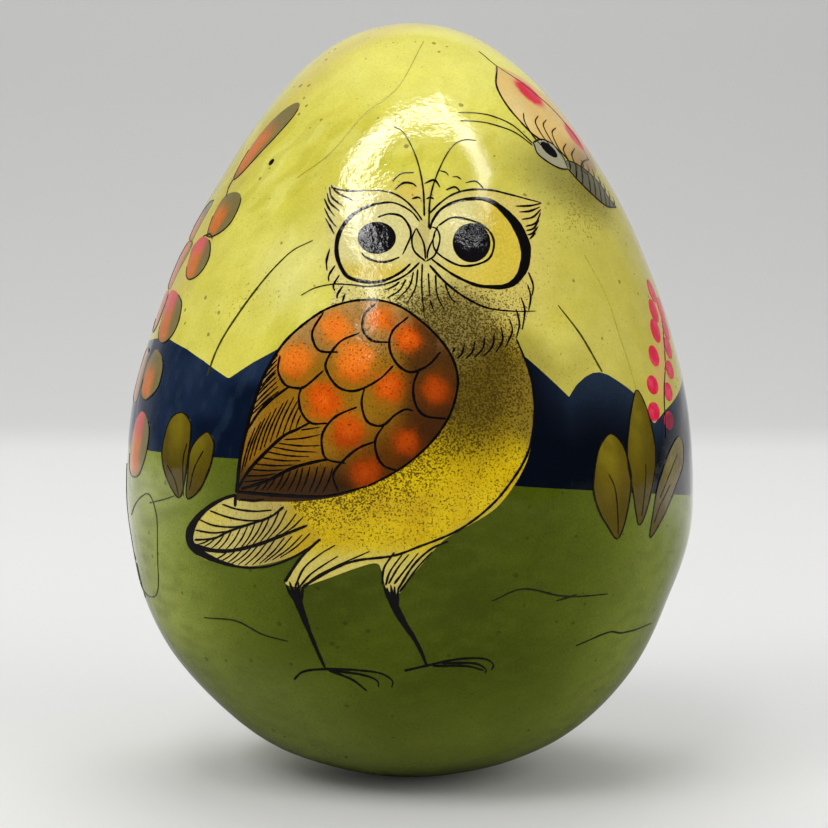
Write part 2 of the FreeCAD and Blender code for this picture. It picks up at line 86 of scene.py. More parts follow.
def wall_outline():
    """Directions about the belly's centre from base to crown, and the eased radii and heights there."""
    drop = BASE_RADIUS - BELLY_HEIGHT
    rise = HEIGHT - CROWN_RADIUS - BELLY_HEIGHT
    lower = (BELLY_RADIUS ** 2 + drop ** 2 - BASE_RADIUS ** 2) / (2 * (BELLY_RADIUS - BASE_RADIUS))
    upper = (BELLY_RADIUS ** 2 + rise ** 2 - CROWN_RADIUS ** 2) / (2 * (BELLY_RADIUS - CROWN_RADIUS))
    base_centre = np.array([0, drop])
    lower_centre = np.array([BELLY_RADIUS - lower, 0])
    upper_centre = np.array([BELLY_RADIUS - upper, 0])
    crown_centre = np.array([0, rise])
    outward = (lower_centre - base_centre) / np.linalg.norm(lower_centre - base_centre)
    base_joint = lower_centre + lower * outward
    outward = (crown_centre - upper_centre) / np.linalg.norm(crown_centre - upper_centre)
    crown_joint = upper_centre + upper * outward
    to_lower = math.atan2(base_joint[1], base_joint[0])
    to_crown = math.atan2(crown_joint[1], crown_joint[0])
    angles = np.radians(np.linspace(-90, 90, 180 * STEPS_PER_DEGREE + 1))
    reach = []
    for angle in angles:
        direction = np.array([math.cos(angle), math.sin(angle)])
        if angle < to_lower:
            reach.append(ray_to_circle(direction, base_centre, BASE_RADIUS))
        elif angle < 0:
            reach.append(ray_to_circle(direction, lower_centre, lower))
        elif angle < to_crown:
            reach.append(ray_to_circle(direction, upper_centre, upper))
        else:
            reach.append(ray_to_circle(direction, crown_centre, CROWN_RADIUS))
    sigma = EASING * STEPS_PER_DEGREE
    span = int(4 * sigma)
    kernel = np.exp(-0.5 * (np.arange(-span, span + 1) / sigma) ** 2)
    eased = np.convolve(np.pad(reach, span, mode="reflect"), kernel / kernel.sum(), mode="valid")
    return angles, eased * np.cos(angles), BELLY_HEIGHT + eased * np.sin(angles)


def bell(value, centre, width):
    """1 at the centre, falling smoothly to 0 beyond the width."""
    return np.exp(-(((value - centre) / width) ** 2))


def swell(z, bulges):
    """The sum of several bulges at a height."""
    return sum(size * bell(z, height, width) for size, height, width in bulges)


WALL_ANGLE, WALL_R, WALL_Z = wall_outline()
pole_fade = np.clip(np.minimum(WALL_Z - WALL_Z[0], WALL_Z[-1] - WALL_Z) / POLE_CLEARANCE, 0, 1)
WALL_R = WALL_R + pole_fade * swell(WALL_Z, BULGES)
WALL_R[0] = WALL_R[-1] = 0.0
slope_r, slope_z = np.gradient(WALL_R), np.gradient(WALL_Z)
FACE_R = slope_z / np.hypot(slope_r, slope_z)
FACE_Z = -slope_r / np.hypot(slope_r, slope_z)


def radius_at(z):
    """Radius of the wall at a height."""
    return np.interp(z, WALL_Z, WALL_R)


def axis_shift(z):
    """How far the egg's middle leans towards +X at a height."""
    return swell(z, LEANS)


def waves(places, length, seed, count=12):
    """A smooth uneven field, mostly within -1 and 1.5, whose bumps are about this long."""
    draws = np.random.RandomState(seed)
    total = np.zeros(len(places))
    for _ in range(count):
        direction = draws.normal(size=3)
        direction /= np.linalg.norm(direction)
        pitch = length * draws.uniform(0.7, 1.4)
        total += np.sin(places @ direction * 2 * math.pi / pitch + draws.uniform(0, 2 * math.pi))
    return total / math.sqrt(count / 2)


STRIP_EDGES = (-163, -118, -71, -33, 14, 55, 101, 148)  # where a pasted strip overlaps the next, degrees
STRIP_STEP = 0.055
STRIP_SPREAD = 11.0
EDGE_WIDTH = 1.1
CROWN_PATCH = 17.0
CROWN_STEP = 0.045
RIPPLES = ((0.045, 17, 3), (0.011, 6, 4), (0.0035, 2.6, 5))  # depth, length and seed of the unevenness
CRATERS = [(-6.6, 122.6, 0.6), (-5.3, 121.6, 0.45), (-10.6, 118.9, 0.5), (-6.5, 124.6, 0.45),
           (-2.9, 129.4, 0.6), (-5.6, 126, 0.4), (-1.3, 130, 0.45), (-3.9, 128, 0.4), (-7, 121.2, 0.4),
           (-2, 122.5, 0.7), (36.5, 38.5, 1.3), (18, 92.5, 0.5), (-30, 44, 0.7), (8, 37, 0.6),
           (28, 57, 0.6)]  # chart x, z and radius of burst bubbles in the paste
CRATER_DEPTH = 0.09


def ease(value):
    """0 below 0, 1 above 1, smooth between."""
    t = np.clip(value, 0, 1)
    return t * t * (3 - 2 * t)


def relief(phi, z):
    """How far the lacquered surface stands out from the plain wall."""
    r = radius_at(z)
    bare = np.stack([r * np.sin(phi), -r * np.cos(phi), z], axis=-1)
    out = sum(depth * waves(bare, length, seed) for depth, length, seed in RIPPLES)
    fade = ease((r - 9) / 12)
    for number, edge in enumerate(STRIP_EDGES):
        wander = 2.2 * np.sin(z / 19 + 1.7 * number) + 0.5 * np.sin(z / 5 + number)
        turn = (phi - math.radians(edge) + math.pi) % (2 * math.pi) - math.pi
        side = turn * r + wander
        step = ease(side / EDGE_WIDTH + 0.5) * np.exp(-np.maximum(side, 0) / STRIP_SPREAD)
        out = out + STRIP_STEP * fade * step * (np.abs(turn) < 1.2)
    patch = ease((CROWN_PATCH + 0.8 * np.sin(3 * phi) - r) / EDGE_WIDTH + 0.5)
    out = out + CROWN_STEP * patch * (z > HEIGHT / 2)
    facing_owl = np.cos(phi) > 0
    for x, height, radius in CRATERS:
        away = np.hypot(r * np.sin(phi) + axis_shift(z) - x, z - height) / radius
        dent = np.exp(-away ** 2) - 0.45 * np.exp(-((away - 1.5) / 0.5) ** 2)
        out = out - CRATER_DEPTH * radius * dent * facing_owl
    return out


def on_wall(phi, z, lift=0.0):
    """Points on the painted surface at a turn (radians from the owl's side towards +X) and a height."""
    out = lift + relief(phi, z)
    r = radius_at(z) + out * np.interp(z, WALL_Z, FACE_R)
    height = z + out * np.interp(z, WALL_Z, FACE_Z)
    return np.stack([axis_shift(z) + r * np.sin(phi), -r * np.cos(phi), height], axis=-1)


def from_chart(points, facing):
    """Turns and heights of chart points."""
    points = np.asarray(points, float)
    turn = math.radians(facing)
    share = (points[:, 0] - axis_shift(points[:, 1]) * math.cos(turn)) / radius_at(points[:, 1])
    return turn + np.arcsin(np.clip(share, -1, 1)), points[:, 1]


# ---------------------------------------------------------------- colours

def linear(colours):
    """Screen colours, 0 to 255, as the linear values that materials use."""
    c = np.asarray(colours, float) / 255
    return np.where(c <= 0.04045, c / 12.92, ((np.maximum(c, 0) + 0.055) / 1.055) ** 2.4)


def tint(under, over, share):
    """The colour under, covered by the colour over to a share for each point."""
    share = np.clip(np.asarray(share, float), 0, 1)[..., None]
    return np.asarray(under, float) * (1 - share) + np.asarray(over, float) * share


def layered(colours, *layers):
    """A ground colour under layers, each of them a colour and its share for each point."""
    for colour, share in layers:
        colours = tint(colours, colour, share)
    return colours


def soft_spot(x, z, centre, reach_x, reach_z):
    """An airbrushed spot: 1 in its middle, 0 at its reach."""
    return ease(1 - np.hypot((x - centre[0]) / reach_x, (z - centre[1]) / reach_z))


def airbrushed(colours, x, z, spots):
    """Colours under airbrushed spots, each with its colour, strength, centre and two reaches."""
    for colour, strength, centre, reach_x, reach_z in spots:
        colours = tint(colours, colour, strength * soft_spot(x, z, centre, reach_x, reach_z))
    return colours


def with_specks(colours, specks):
    """Colours with the density of the airbrush's specks in the fourth place."""
    density = np.broadcast_to(np.asarray(specks, float), colours.shape[:1])
    return np.concatenate([linear(colours), density[:, None]], axis=1)


def upright(x, z):
    """Chart points as places on the chart's own plane."""
    return np.stack([x, np.zeros_like(x), z], axis=-1)


# ---------------------------------------------------------------- materials

CLOUD_SCALE, DUST_SCALE, SHEEN_SCALE = 130.0, 2400.0, 220.0  # bumps per metre
FLECK_SCALE, DIMPLE_SCALE = 420.0, 620.0
GLOSS, SHEEN_SPREAD = 0.05, 0.05  # roughness of the lacquer, and how much more it is in patches
LACQUER_IOR = 1.5
DIMPLE_DEPTH = 0.00016
PULP_LUMPS = 0.0004
SPECKS_FROM, SPECKS_AT_MOST, SPECK_EDGE = 0.8, 0.44, 0.1  # noise level where specks start, bare and dense
FLECK_FROM, FLECK_TO, FLECK_SIZE, FLECK_EDGE = 0.56, 0.9, 0.24, 0.05  # which cells have one, and how big


class Nodes:
    """Short ways to build the nodes of a material or of the world."""

    def __init__(self, owner):
        owner.use_nodes = True
        self.nodes = owner.node_tree.nodes
        self.links = owner.node_tree.links
        self.space = None

    def feed(self, socket, value):
        """Links another node's output to a socket, or gives the socket a plain value."""
        if isinstance(value, bpy.types.NodeSocket):
            self.links.new(value, socket)
        else:
            socket.default_value = value

    def add(self, kind, inputs=None, **settings):
        """A node with its settings, and with its inputs by name or number."""
        node = self.nodes.new(kind)
        for name, value in settings.items():
            setattr(node, name, value)
        for name, value in (inputs or {}).items():
            self.feed(node.inputs[name], value)
        return node

    def in_space(self, kind, **inputs):
        """A texture node in the object's own space."""
        if self.space is None:
            self.space = self.add("ShaderNodeTexCoord").outputs["Object"]
        return self.add(kind, {"Vector": self.space, **inputs})

    def noise(self, scale, detail=3.0, roughness=0.55):
        """A noise texture; scale is bumps per metre."""
        node = self.in_space("ShaderNodeTexNoise", Scale=scale, Detail=detail, Roughness=roughness)
        return node.outputs["Fac"]

    def to_range(self, value, low, high, to_low, to_high):
        """Maps a value from one range to another, held at the ends."""
        inputs = {"Value": value, "From Min": low, "From Max": high, "To Min": to_low, "To Max": to_high}
        return self.add("ShaderNodeMapRange", inputs).outputs["Result"]

    def mixed(self, factor, first, second, blend="MIX"):
        """Two colours mixed by a blend type."""
        node = self.add("ShaderNodeMix", data_type="RGBA", blend_type=blend, clamp_result=True)
        for number, value in ((0, factor), (6, first), (7, second)):
            self.feed(node.inputs[number], value)
        return node.outputs[2]

    def math(self, operation, *values):
        """The result of a math node."""
        return self.add("ShaderNodeMath", dict(enumerate(values)), operation=operation).outputs[0]

    def bump(self, height, strength, distance):
        """Surface directions bent by a height."""
        inputs = {"Height": height, "Strength": strength, "Distance": distance}
        return self.add("ShaderNodeBump", inputs).outputs["Normal"]


def new_material(name):
    """A material with its node tools and its principled shader's inputs."""
    material = bpy.data.materials.new(name)
    tree = Nodes(material)
    return material, tree, tree.nodes["Principled BSDF"].inputs


def lacquered(name, mottling, grain, speck, speck_scale, cover, flecks):
    """Paint under clear gloss lacquer: the painted colours with mottling, grain, specks and a wavy shine."""
    material, tree, shader = new_material(name)
    painted = tree.add("ShaderNodeAttribute", attribute_name="paint").outputs
    speck_colour = (*linear(speck), 1.0)

    cloud = tree.to_range(tree.noise(CLOUD_SCALE, 5.0, 0.62), 0.3, 0.7, 1 - mottling, 1 + mottling * 0.5)
    dust = tree.to_range(tree.noise(DUST_SCALE, 2.0), 0.3, 0.7, 1 - grain, 1 + grain)
    colour = tree.mixed(1.0, painted["Color"], cloud, "MULTIPLY")
    colour = tree.mixed(1.0, colour, dust, "MULTIPLY")

    start = tree.to_range(painted["Alpha"], 0.0, 1.0, SPECKS_FROM, SPECKS_AT_MOST)
    stop = tree.math("ADD", start, SPECK_EDGE)
    specks = tree.to_range(tree.noise(speck_scale, 2.0, 0.6), start, stop, 0.0, cover)
    colour = tree.mixed(specks, colour, speck_colour)

    cells = tree.in_space("ShaderNodeTexVoronoi", Scale=FLECK_SCALE).outputs
    size = tree.to_range(cells["Color"], FLECK_FROM, FLECK_TO, 0.0, FLECK_SIZE)
    core = tree.math("SUBTRACT", size, cells["Distance"])
    colour = tree.mixed(tree.to_range(core, 0.0, FLECK_EDGE, 0.0, flecks), colour, speck_colour)

    wrinkle = tree.add("ShaderNodeAttribute", attribute_name="wrinkle").outputs["Fac"]
    sheen = tree.to_range(tree.noise(SHEEN_SCALE), 0.35, 0.7, GLOSS, GLOSS + SHEEN_SPREAD)
    tree.feed(shader["Base Color"], colour)
    tree.feed(shader["Roughness"], sheen)
    tree.feed(shader["IOR"], LACQUER_IOR)
    tree.feed(shader["Normal"], tree.bump(tree.noise(DIMPLE_SCALE, 3.0, 0.6), wrinkle, DIMPLE_DEPTH))
    return material


def pulp(name, light, dark, fibre_scale):
    """Bare paper pulp or cardboard: fibres, small lumps and no shine."""
    material, tree, shader = new_material(name)
    lumps = tree.noise(fibre_scale, 6.0, 0.7)
    share = tree.to_range(lumps, 0.35, 0.68, 0.0, 1.0)
    tree.feed(shader["Base Color"], tree.mixed(share, (*linear(dark), 1.0), (*linear(light), 1.0)))
    tree.feed(shader["Roughness"], 0.9)
    tree.feed(shader["Normal"], tree.bump(lumps, 0.5, PULP_LUMPS))
    return material


# ---------------------------------------------------------------- making meshes

CREASE = math.radians(40)
CALM = 0.16  # strength of the lacquer's dimples away from the wrinkled places
WRINKLES = [(-8, 117, 12.6, 21, 1.0), (0, 130, 18.2, 9.8, 0.7), (-7, 105, 8.4, 11.2, 1.2),
            (12, 109, 7, 5.6, 1.1), (-8, 90, 11.2, 12.6, 0.8),
            (12, 124, 5.6, 12.6, 0.25)]  # chart x, z, their reaches, and the strength there


def wrinkled(places):
    """How wrinkled and pitted the lacquer is at each place: mostly over the owl's head."""
    x, y, z = places.T
    result = np.full(len(places), CALM)
    for cx, cz, reach_x, reach_z, depth in WRINKLES:
        result = np.maximum(result, depth * soft_spot(x, z, (cx, cz), reach_x, reach_z) * (y < 0))
    return result


def make_piece(name, places, faces, colours, material, slot, nodes=()):
    """One piece of the object, from places in millimetres and a colour for each."""
    mesh = bpy.data.meshes.new(name)
    mesh.from_pydata((np.asarray(places) * MM).tolist(), [], faces)
    attribute = mesh.attributes.new("paint", "FLOAT_COLOR", "POINT")
    attribute.data.foreach_set("color", np.asarray(colours, np.float32).ravel())
    attribute = mesh.attributes.new("wrinkle", "FLOAT", "POINT")
    attribute.data.foreach_set("value", wrinkled(np.asarray(places)).astype(np.float32))
    mesh.shade_smooth()
    mesh.set_sharp_from_angle(angle=CREASE)
    mesh.materials.append(material)
    piece = bpy.data.objects.new(name, mesh)
    bpy.context.scene.collection.objects.link(piece)
    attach(piece, "root")
    if nodes:
        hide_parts(*nodes)


def joined(parts):
    """Places, faces and colours of several parts as one."""
    places, faces, colours = [], [], []
    count = 0
    for part_places, part_faces, part_colours in parts:
        places.append(part_places)
        faces += [[count + corner for corner in face] for face in part_faces]
        colours.append(part_colours)
        count += len(part_places)
    return np.concatenate(places), faces, np.concatenate(colours)


# ---------------------------------------------------------------- background: sky, mountains, meadow

SKYLINE = [(-47, 89.1), (-42.4, 87.1), (-38.8, 85.1), (-33.7, 82), (-28.9, 85.1), (-24.5, 87.5), (-12, 86),
           (0, 88), (12, 90), (21, 86), (25, 82.4), (28.8, 78.8), (30.2, 80.9), (31.9, 82.3), (33.4, 83),
           (34.9, 83.1), (36.4, 82.6), (37.9, 81.7), (40.3, 80.1), (42.6, 78.2), (44.4, 75.8), (45.9, 72.9),
           (48.3, 75.1), (52.6, 78.9)]
HORIZON = [(-50, 67.5), (-31, 67.5), (0, 65), (21.4, 62.8), (34.7, 61.4), (47.1, 59.6), (54.8, 57.8)]
BACK_SKYLINE = [(-50, 88), (-41, 80.5), (-30, 76.5), (-19, 84.5), (-6, 92), (5, 85), (15, 79.5),
                (26, 83), (37, 90.5), (48, 86)]
BACK_HORIZON = [(-50, 58.5), (-38, 60), (-12, 63), (14, 66), (40, 67.5), (52, 67.5)]
SKY_SPOTS = (  # colour, strength, chart centre and reaches
    ((216, 200, 116), 0.6, (21, 101), 9, 16), ((229, 219, 140), 0.5, (-15, 110), 9, 16),
    ((238, 232, 148), 0.7, (-22.5, 101), 11, 13), ((204, 190, 108), 0.7, (1, 115), 8, 7),
    ((228, 196, 84), 0.6, (-0.5, 116.5), 6, 4))
BUTTERFLY_HAZE = (((148, 142, 70), 0.75, (-4, 120), 13, 9), ((132, 126, 56), 0.85, (4, 117), 14, 9))
COLUMNS = 600
SKY_ROWS, MOUNTAIN_ROWS, MEADOW_ROWS, INNER_ROWS = 110, 30, 95, 10
SKIN_INNER = -0.45
OWL_FACING = 0.0
FAR_AWAY = 500.0


def land_line(front, back):
    """A line around the egg as a function of the turn, through chart points of both sides."""
    turns, heights = [], []
    for points, facing in ((front, 0), (back, 180)):
        phi, z = from_chart(points, facing)
        turns.extend(phi)
        heights.extend(z)
    turns = np.array(turns)
    order = np.argsort(turns)
    turns, heights = turns[order], np.array(heights)[order]
    return lambda phi: np.interp(phi, turns, heights, period=2 * math.pi)


skyline = land_line(SKYLINE, BACK_SKYLINE)
horizon = land_line(HORIZON, BACK_HORIZON)


def base_pole(phi):
    """The middle of the underside."""
    return np.full_like(phi, WALL_Z[0])


def crown_pole(phi):
    """The top of the egg."""
    return np.full_like(phi, WALL_Z[-1])


def zone_piece(name, low, high, rows, colours_of, material, slot, nodes):
    """A closed skin all round the egg between two lines; a line at a pole is one point."""
    phi = np.linspace(-math.pi, math.pi, COLUMNS, endpoint=False)
    angles = [np.interp(line(phi), WALL_Z, WALL_ANGLE) for line in (low, high)]
    at_pole = [line in (base_pole, crown_pole) for line in (low, high)]
    shares = [(t, 0.0) for t in np.linspace(0, 1, rows)]
    shares += [(t, SKIN_INNER) for t in np.linspace(1, 0, INNER_ROWS)]
    places, colours, rings = [], [], []
    count = 0
    for share, lift in shares:
        single = (share == 0 and at_pole[0]) or (share == 1 and at_pole[1])
        turns = phi[:1] if single else phi
        angle = angles[0] * (1 - share) + angles[1] * share
        z = np.interp(angle, WALL_ANGLE, WALL_Z)[:len(turns)]
        row = on_wall(turns, z, lift)
        places.append(row)
        colours.append(colours_of(turns, z, row))
        rings.append(np.arange(count, count + len(turns)))
        count += len(turns)
    faces = []
    for lower, upper in zip(rings, rings[1:] + rings[:1]):
        if len(lower) == 1 and len(upper) == 1:
            continue
        corners = [row.tolist() for row in (lower, np.roll(lower, -1), np.roll(upper, -1), upper)]
        if len(upper) == 1:
            faces += [(a, b, corners[3][0]) for a, b in zip(corners[0], corners[1])]
        elif len(lower) == 1:
            faces += [(corners[0][0], b, a) for b, a in zip(corners[2], corners[3])]
        else:
            faces += list(zip(*corners))
    make_piece(name, np.concatenate(places), faces, np.concatenate(colours), material, slot, nodes)


def chart_x(phi, z, facing):
    """Chart x at a facing; far away for points on the other side."""
    turn = phi - math.radians(facing)
    x = axis_shift(z) * math.cos(math.radians(facing)) + radius_at(z) * np.sin(turn)
    return np.where(np.cos(turn) > 0, x, FAR_AWAY)


def sky_colours(phi, z, places):
    """Yellow sky with painted light and shade, lighter above and to the owl's left and darker to its right,
    and olive haze beside the owl and under the butterfly.
    """
    x = chart_x(phi, z, OWL_FACING)
    colours = layered(
        (212, 204, 68),
        ((228, 221, 96), 0.5 + 0.3 * waves(places, 26, 21)),
        ((238, 233, 130), 0.45 * ease(waves(places, 9, 22))),
        ((194, 185, 54), 0.32 * ease(waves(places, 4, 23))),
        # painted light: lighter on the owl's left, where the key lamp falls
        ((234, 225, 104), 0.6 * ease((-20 - x) / 10) * ease((116 - z) / 10)),
        # painted light: lighter towards the crown, lit from above
        ((244, 238, 122), 0.85 * ease((z - 126) / 16)),
        # painted shade: darker all down the +X side, away from the lamps
        ((192, 180, 84), 0.75 * ease((np.sin(phi) + 0.1) / 0.9) * ease((134 - z) / 12)))
    colours = airbrushed(colours, x, z, SKY_SPOTS)
    foot = ease(1 - (z - skyline(phi)) / 10) * soft_spot(x, z, (24, 88), 14, 14)
    colours = tint(colours, (140, 128, 52), 0.7 * foot)
    under = chart_x(phi, z, BUTTERFLY_FACING)
    colours = airbrushed(colours, under, z, BUTTERFLY_HAZE)
    along = (z - 75) / 23
    spike = np.abs(chart_x(phi, z, RIGHT_SHRUB_FACING) - (-1.5 + 12.5 * along)) / 6.5
    vine = np.abs(chart_x(phi, z, VINE_FACING) - (-12 + 14 * (z - 70) / 64)) / 9
    colours = layered(
        colours,
        ((232, 178, 112), 0.6 * ease(1 - spike) * ease(4 * along) * ease(4 * (1.08 - along))),
        ((216, 190, 100), 0.4 * ease(1 - vine)))
    specks = 0.32 + 0.1 * soft_spot(x, z, (-2, 117), 22, 12) + 0.1 * soft_spot(x, z, (-30, 98), 12, 16)
    specks = specks + 0.45 * soft_spot(under, z, (1, 116), 20, 14) + 0.1 * ease(waves(places, 12, 24))
    specks = specks + 0.3 * foot + 0.15 * soft_spot(x, z, (27, 98), 9, 22)
    return with_specks(colours, specks)


def mountain_colours(phi, z, places):
    """Slate navy mountains on the owl's left, nearly black ones on its right, with faint streaks."""
    x = chart_x(phi, z, OWL_FACING)
    by_owl = np.maximum(ease((78 - z) / 5), ease((x + 36) / 4) * ease((83 - z) / 4)) * ease((x + 44) / 5)
    slate = layered(
        (19, 36, 62),
        ((30, 47, 73), 0.5 + 0.4 * waves(places, 9, 31)),
        ((4, 18, 40), by_owl * (x < 0)),
        ((50, 62, 84), 0.35 * ease(waves(places * (2.5, 2.5, 1), 7, 32) - 0.4)))
    low = horizon(phi)
    share = np.clip((z - low) / np.maximum(skyline(phi) - low, 1), 0, 1)
    dark = tint((0, 5, 17), (34, 48, 66), ease(1.4 * share - 0.5) * ease((phi - 0.3) / 0.4))
    colours = tint(slate, dark, ease((np.sin(phi) + 0.1) / 0.4) * ease((1.9 - np.abs(phi)) / 0.5))
    return with_specks(colours, 0.0)


def meadow_colours(phi, z, places):
    """Dark green meadow in the middle, lighter and greyer towards the sides, the left and the foot, which is
    painted reflection and bounced light from the pale room and floor.
    """
    colours = layered(
        (60, 70, 0),
        ((72, 83, 4), 0.4 + 0.3 * waves(places, 30, 41)),
        # painted reflection: the next four layers lighten the sides, the left, the foot and the lower left
        # with light mirrored and bounced from the pale room and floor
        ((120, 132, 44), 0.95 * ease((np.abs(phi - 0.05) - 0.38) / 0.6)),
        ((154, 164, 72), ease((-0.65 - phi) / 0.45) * ease((phi + 2.6) / 0.6)),
        ((110, 120, 44), 0.65 * ease((34 - z) / 26)),
        ((104, 116, 46), 0.75 * ease((-0.05 - phi) / 0.5) * ease((36 - z) / 14) * ease((phi + 2) / 0.6)),
        ((88, 98, 24), 0.22 * ease(waves(places * (1, 1, 3), 9, 42))))
    return with_specks(colours, 0.3 + 0.2 * ease(waves(places, 14, 43)))


# ---------------------------------------------------------------- painted patches

FILM_LIFT = 0.05
TAIL_LIFT = 0.04
UPPER_LIFT = 0.09
FILM_BOTTOM = -0.06
OUTLINE_STEP = 0.5
ELLIPSE_STEP = 0.4
PATCH_STEP = 0.75
FINE_STEP = 0.6
ROW_PITCH, RIM_GAP = 0.87, 0.6  # in steps: from row to row of a patch's points, and from its rim inwards


def smooth_line(points, step, closed=False):
    """Points along a smooth line through the given ones, about one step apart."""
    points = np.asarray(points, float)
    if closed:
        guides = np.vstack([points[-1], points, points[0], points[1]])
    else:
        guides = np.vstack([2 * points[0] - points[1], points, 2 * points[-1] - points[-2]])
    line = []
    for p0, p1, p2, p3 in zip(guides, guides[1:], guides[2:], guides[3:]):
        count = max(1, math.ceil(np.linalg.norm(p2 - p1) / step))
        t = (np.arange(count) / count)[:, None]
        line.append(0.5 * (2 * p1 + (p2 - p0) * t + (2 * p0 - 5 * p1 + 4 * p2 - p3) * t ** 2
                           + (3 * p1 - p0 - 3 * p2 + p3) * t ** 3))
    if not closed:
        line.append(points[-1:])
    return np.vstack(line)


def rounded(points):
    """A smooth closed outline through chart points."""
    return smooth_line(points, OUTLINE_STEP, closed=True)


def inside(points, outline):
    """Which points lie within a closed outline."""
    x, z = points[:, 0], points[:, 1]
    result = np.zeros(len(points), bool)
    for a, b in zip(outline, np.roll(outline, -1, axis=0)):
        crosses = (a[1] > z) != (b[1] > z)
        at = a[0] + (z - a[1]) * (b[0] - a[0]) / (b[1] - a[1] + 1e-12)
        result ^= crosses & (x < at)
    return result


def distance_to(points, outline):
    """Distance from each point to the nearest corner of an outline."""
    nearest = np.full(len(points), 1e9)
    for corner in outline:
        nearest = np.minimum(nearest, np.hypot(points[:, 0] - corner[0], points[:, 1] - corner[1]))
    return nearest


def filling(outline, step):
    """Evenly spread points inside an outline, clear of its edge."""
    low, high = outline.min(axis=0), outline.max(axis=0)
    xs = np.arange(low[0], high[0], step)
    zs = np.arange(low[1], high[1], step * ROW_PITCH)
    grid = np.array([(x + step * 0.5 * (row % 2), z) for row, z in enumerate(zs) for x in xs])
    if len(grid) == 0:
        return np.zeros((0, 2))
    grid = grid[inside(grid, outline)]
    return grid[distance_to(grid, outline) > step * RIM_GAP]


def film_patch(outline, facing, colours_of, lift=FILM_LIFT, step=PATCH_STEP):
    """A thin closed patch with this chart outline; colours_of gives its colours from chart x and z."""
    flat = np.vstack([outline, filling(outline, step)])
    corners = [Vector(point) for point in flat.tolist()]
    found = delaunay_2d_cdt(corners, [], [list(range(len(outline)))], 1, 1e-5)
    chart = np.array([tuple(v) for v in found[0]])
    phi, z = from_chart(chart, facing)
    colours = colours_of(chart[:, 0], chart[:, 1])
    under = len(chart)
    faces = []
    used = set()
    for face in found[2]:
        faces.append(list(face))
        faces.append([under + v for v in reversed(face)])
        used.update(zip(face, list(face[1:]) + [face[0]]))
    for a, b in sorted(used):
        if (b, a) not in used:
            faces.append([b, a, under + a, under + b])
    places = np.concatenate([on_wall(phi, z, lift), on_wall(phi, z, FILM_BOTTOM)])
    return places, faces, np.concatenate([colours, colours])


def film_piece(name, patches, material, slot, *nodes):
    """Thin painted patches as one piece; each is what film_patch takes."""
    make_piece(name, *joined(film_patch(*patch) for patch in patches), material, slot, nodes)


# ---------------------------------------------------------------- ink

INK_EDGE = 0.11
INK_RIDGE = 0.125
INK_BOTTOM = -0.06
CROSS_SECTION = ((1, INK_EDGE), (0, INK_RIDGE), (-1, INK_EDGE), (-1, INK_BOTTOM), (1, INK_BOTTOM))
CORNERS = len(CROSS_SECTION)
INK_STEP = 0.35
INK_WEIGHT = 0.85  # share of a stroke's given width that the ink takes
THIN_STROKE = 0.5  # a wider stroke is no more uneven than this one
UNEVEN = ((0.09, 1.7, 1), (0.06, 4.3, 2))  # how much a stroke's width wavers, how fast, and its shift


class Pen:
    """Collects ink strokes on one facing."""

    def __init__(self, facing, colour):
        self.facing = facing
        self.colour = colour
        self.places, self.faces = [], []
        self.count = 0
        self.drawn = 0

    def line(self, points, *widths):
        """One stroke through chart points; its widths are spread evenly along it."""
        centre = smooth_line(points, INK_STEP)
        gone = np.concatenate([[0], np.cumsum(np.hypot(*np.diff(centre, axis=0).T))])
        length = gone[-1]
        width = np.interp(gone / length, np.linspace(0, 1, len(widths)), widths)
        self.drawn += 1
        phase = self.drawn * 1.9
        uneven = sum(size * np.sin(gone * pace + shift * phase) for size, pace, shift in UNEVEN)
        width = width * INK_WEIGHT + np.minimum(width, THIN_STROKE) * uneven
        to_end = np.minimum(gone, length - gone)
        blunt = np.clip(to_end / np.maximum(width / 2, 0.05), 0, 1)
        width = width * np.sqrt(np.clip(1 - (1 - blunt) ** 2, 0.1, 1))
        along = np.gradient(centre, axis=0)
        along /= np.linalg.norm(along, axis=1)[:, None]
        side = np.stack([-along[:, 1], along[:, 0]], axis=1) * width[:, None] / 2
        rows = [on_wall(*from_chart(centre + side * across, self.facing), lift)
                for across, lift in CROSS_SECTION]
        self.places.append(np.stack(rows, axis=1).reshape(-1, 3))
        start = self.count + CORNERS * np.arange(len(centre))
        for corner in range(CORNERS):
            following = (corner + 1) % CORNERS
            quads = np.stack([start[:-1] + corner, start[:-1] + following,
                              start[1:] + following, start[1:] + corner], axis=1)
            self.faces += quads.tolist()
        self.faces.append([int(start[0]) + c for c in reversed(range(CORNERS))])
        self.faces.append([int(start[-1]) + c for c in range(CORNERS)])
        self.count += CORNERS * len(centre)

    def lines(self, many, *widths):
        """Several strokes of the same widths."""
        for points in many:
            self.line(points, *widths)

    def hatch(self, starts, ends, count, bend, *widths):
        """Strokes side by side from one line to another, each bent sideways by a share of its length."""
        first = smooth_line(starts, OUTLINE_STEP)
        last = smooth_line(ends, OUTLINE_STEP)
        for share in np.linspace(0, 1, count):
            a = first[int(round(share * (len(first) - 1)))]
            b = last[int(round(share * (len(last) - 1)))]
            middle = (a + b) / 2 + bend * np.array([a[1] - b[1], b[0] - a[0]])
            self.line([a, middle, b], *widths)


def ink_piece(name, pens):
    """The strokes of several pens as one piece."""
    parts = [(np.concatenate(pen.places), pen.faces, with_specks(np.full((pen.count, 3), pen.colour), 0.0))
             for pen in pens]
    make_piece(name, *joined(parts), paint["ink"], "black_ink")


# ---------------------------------------------------------------- owl: paint

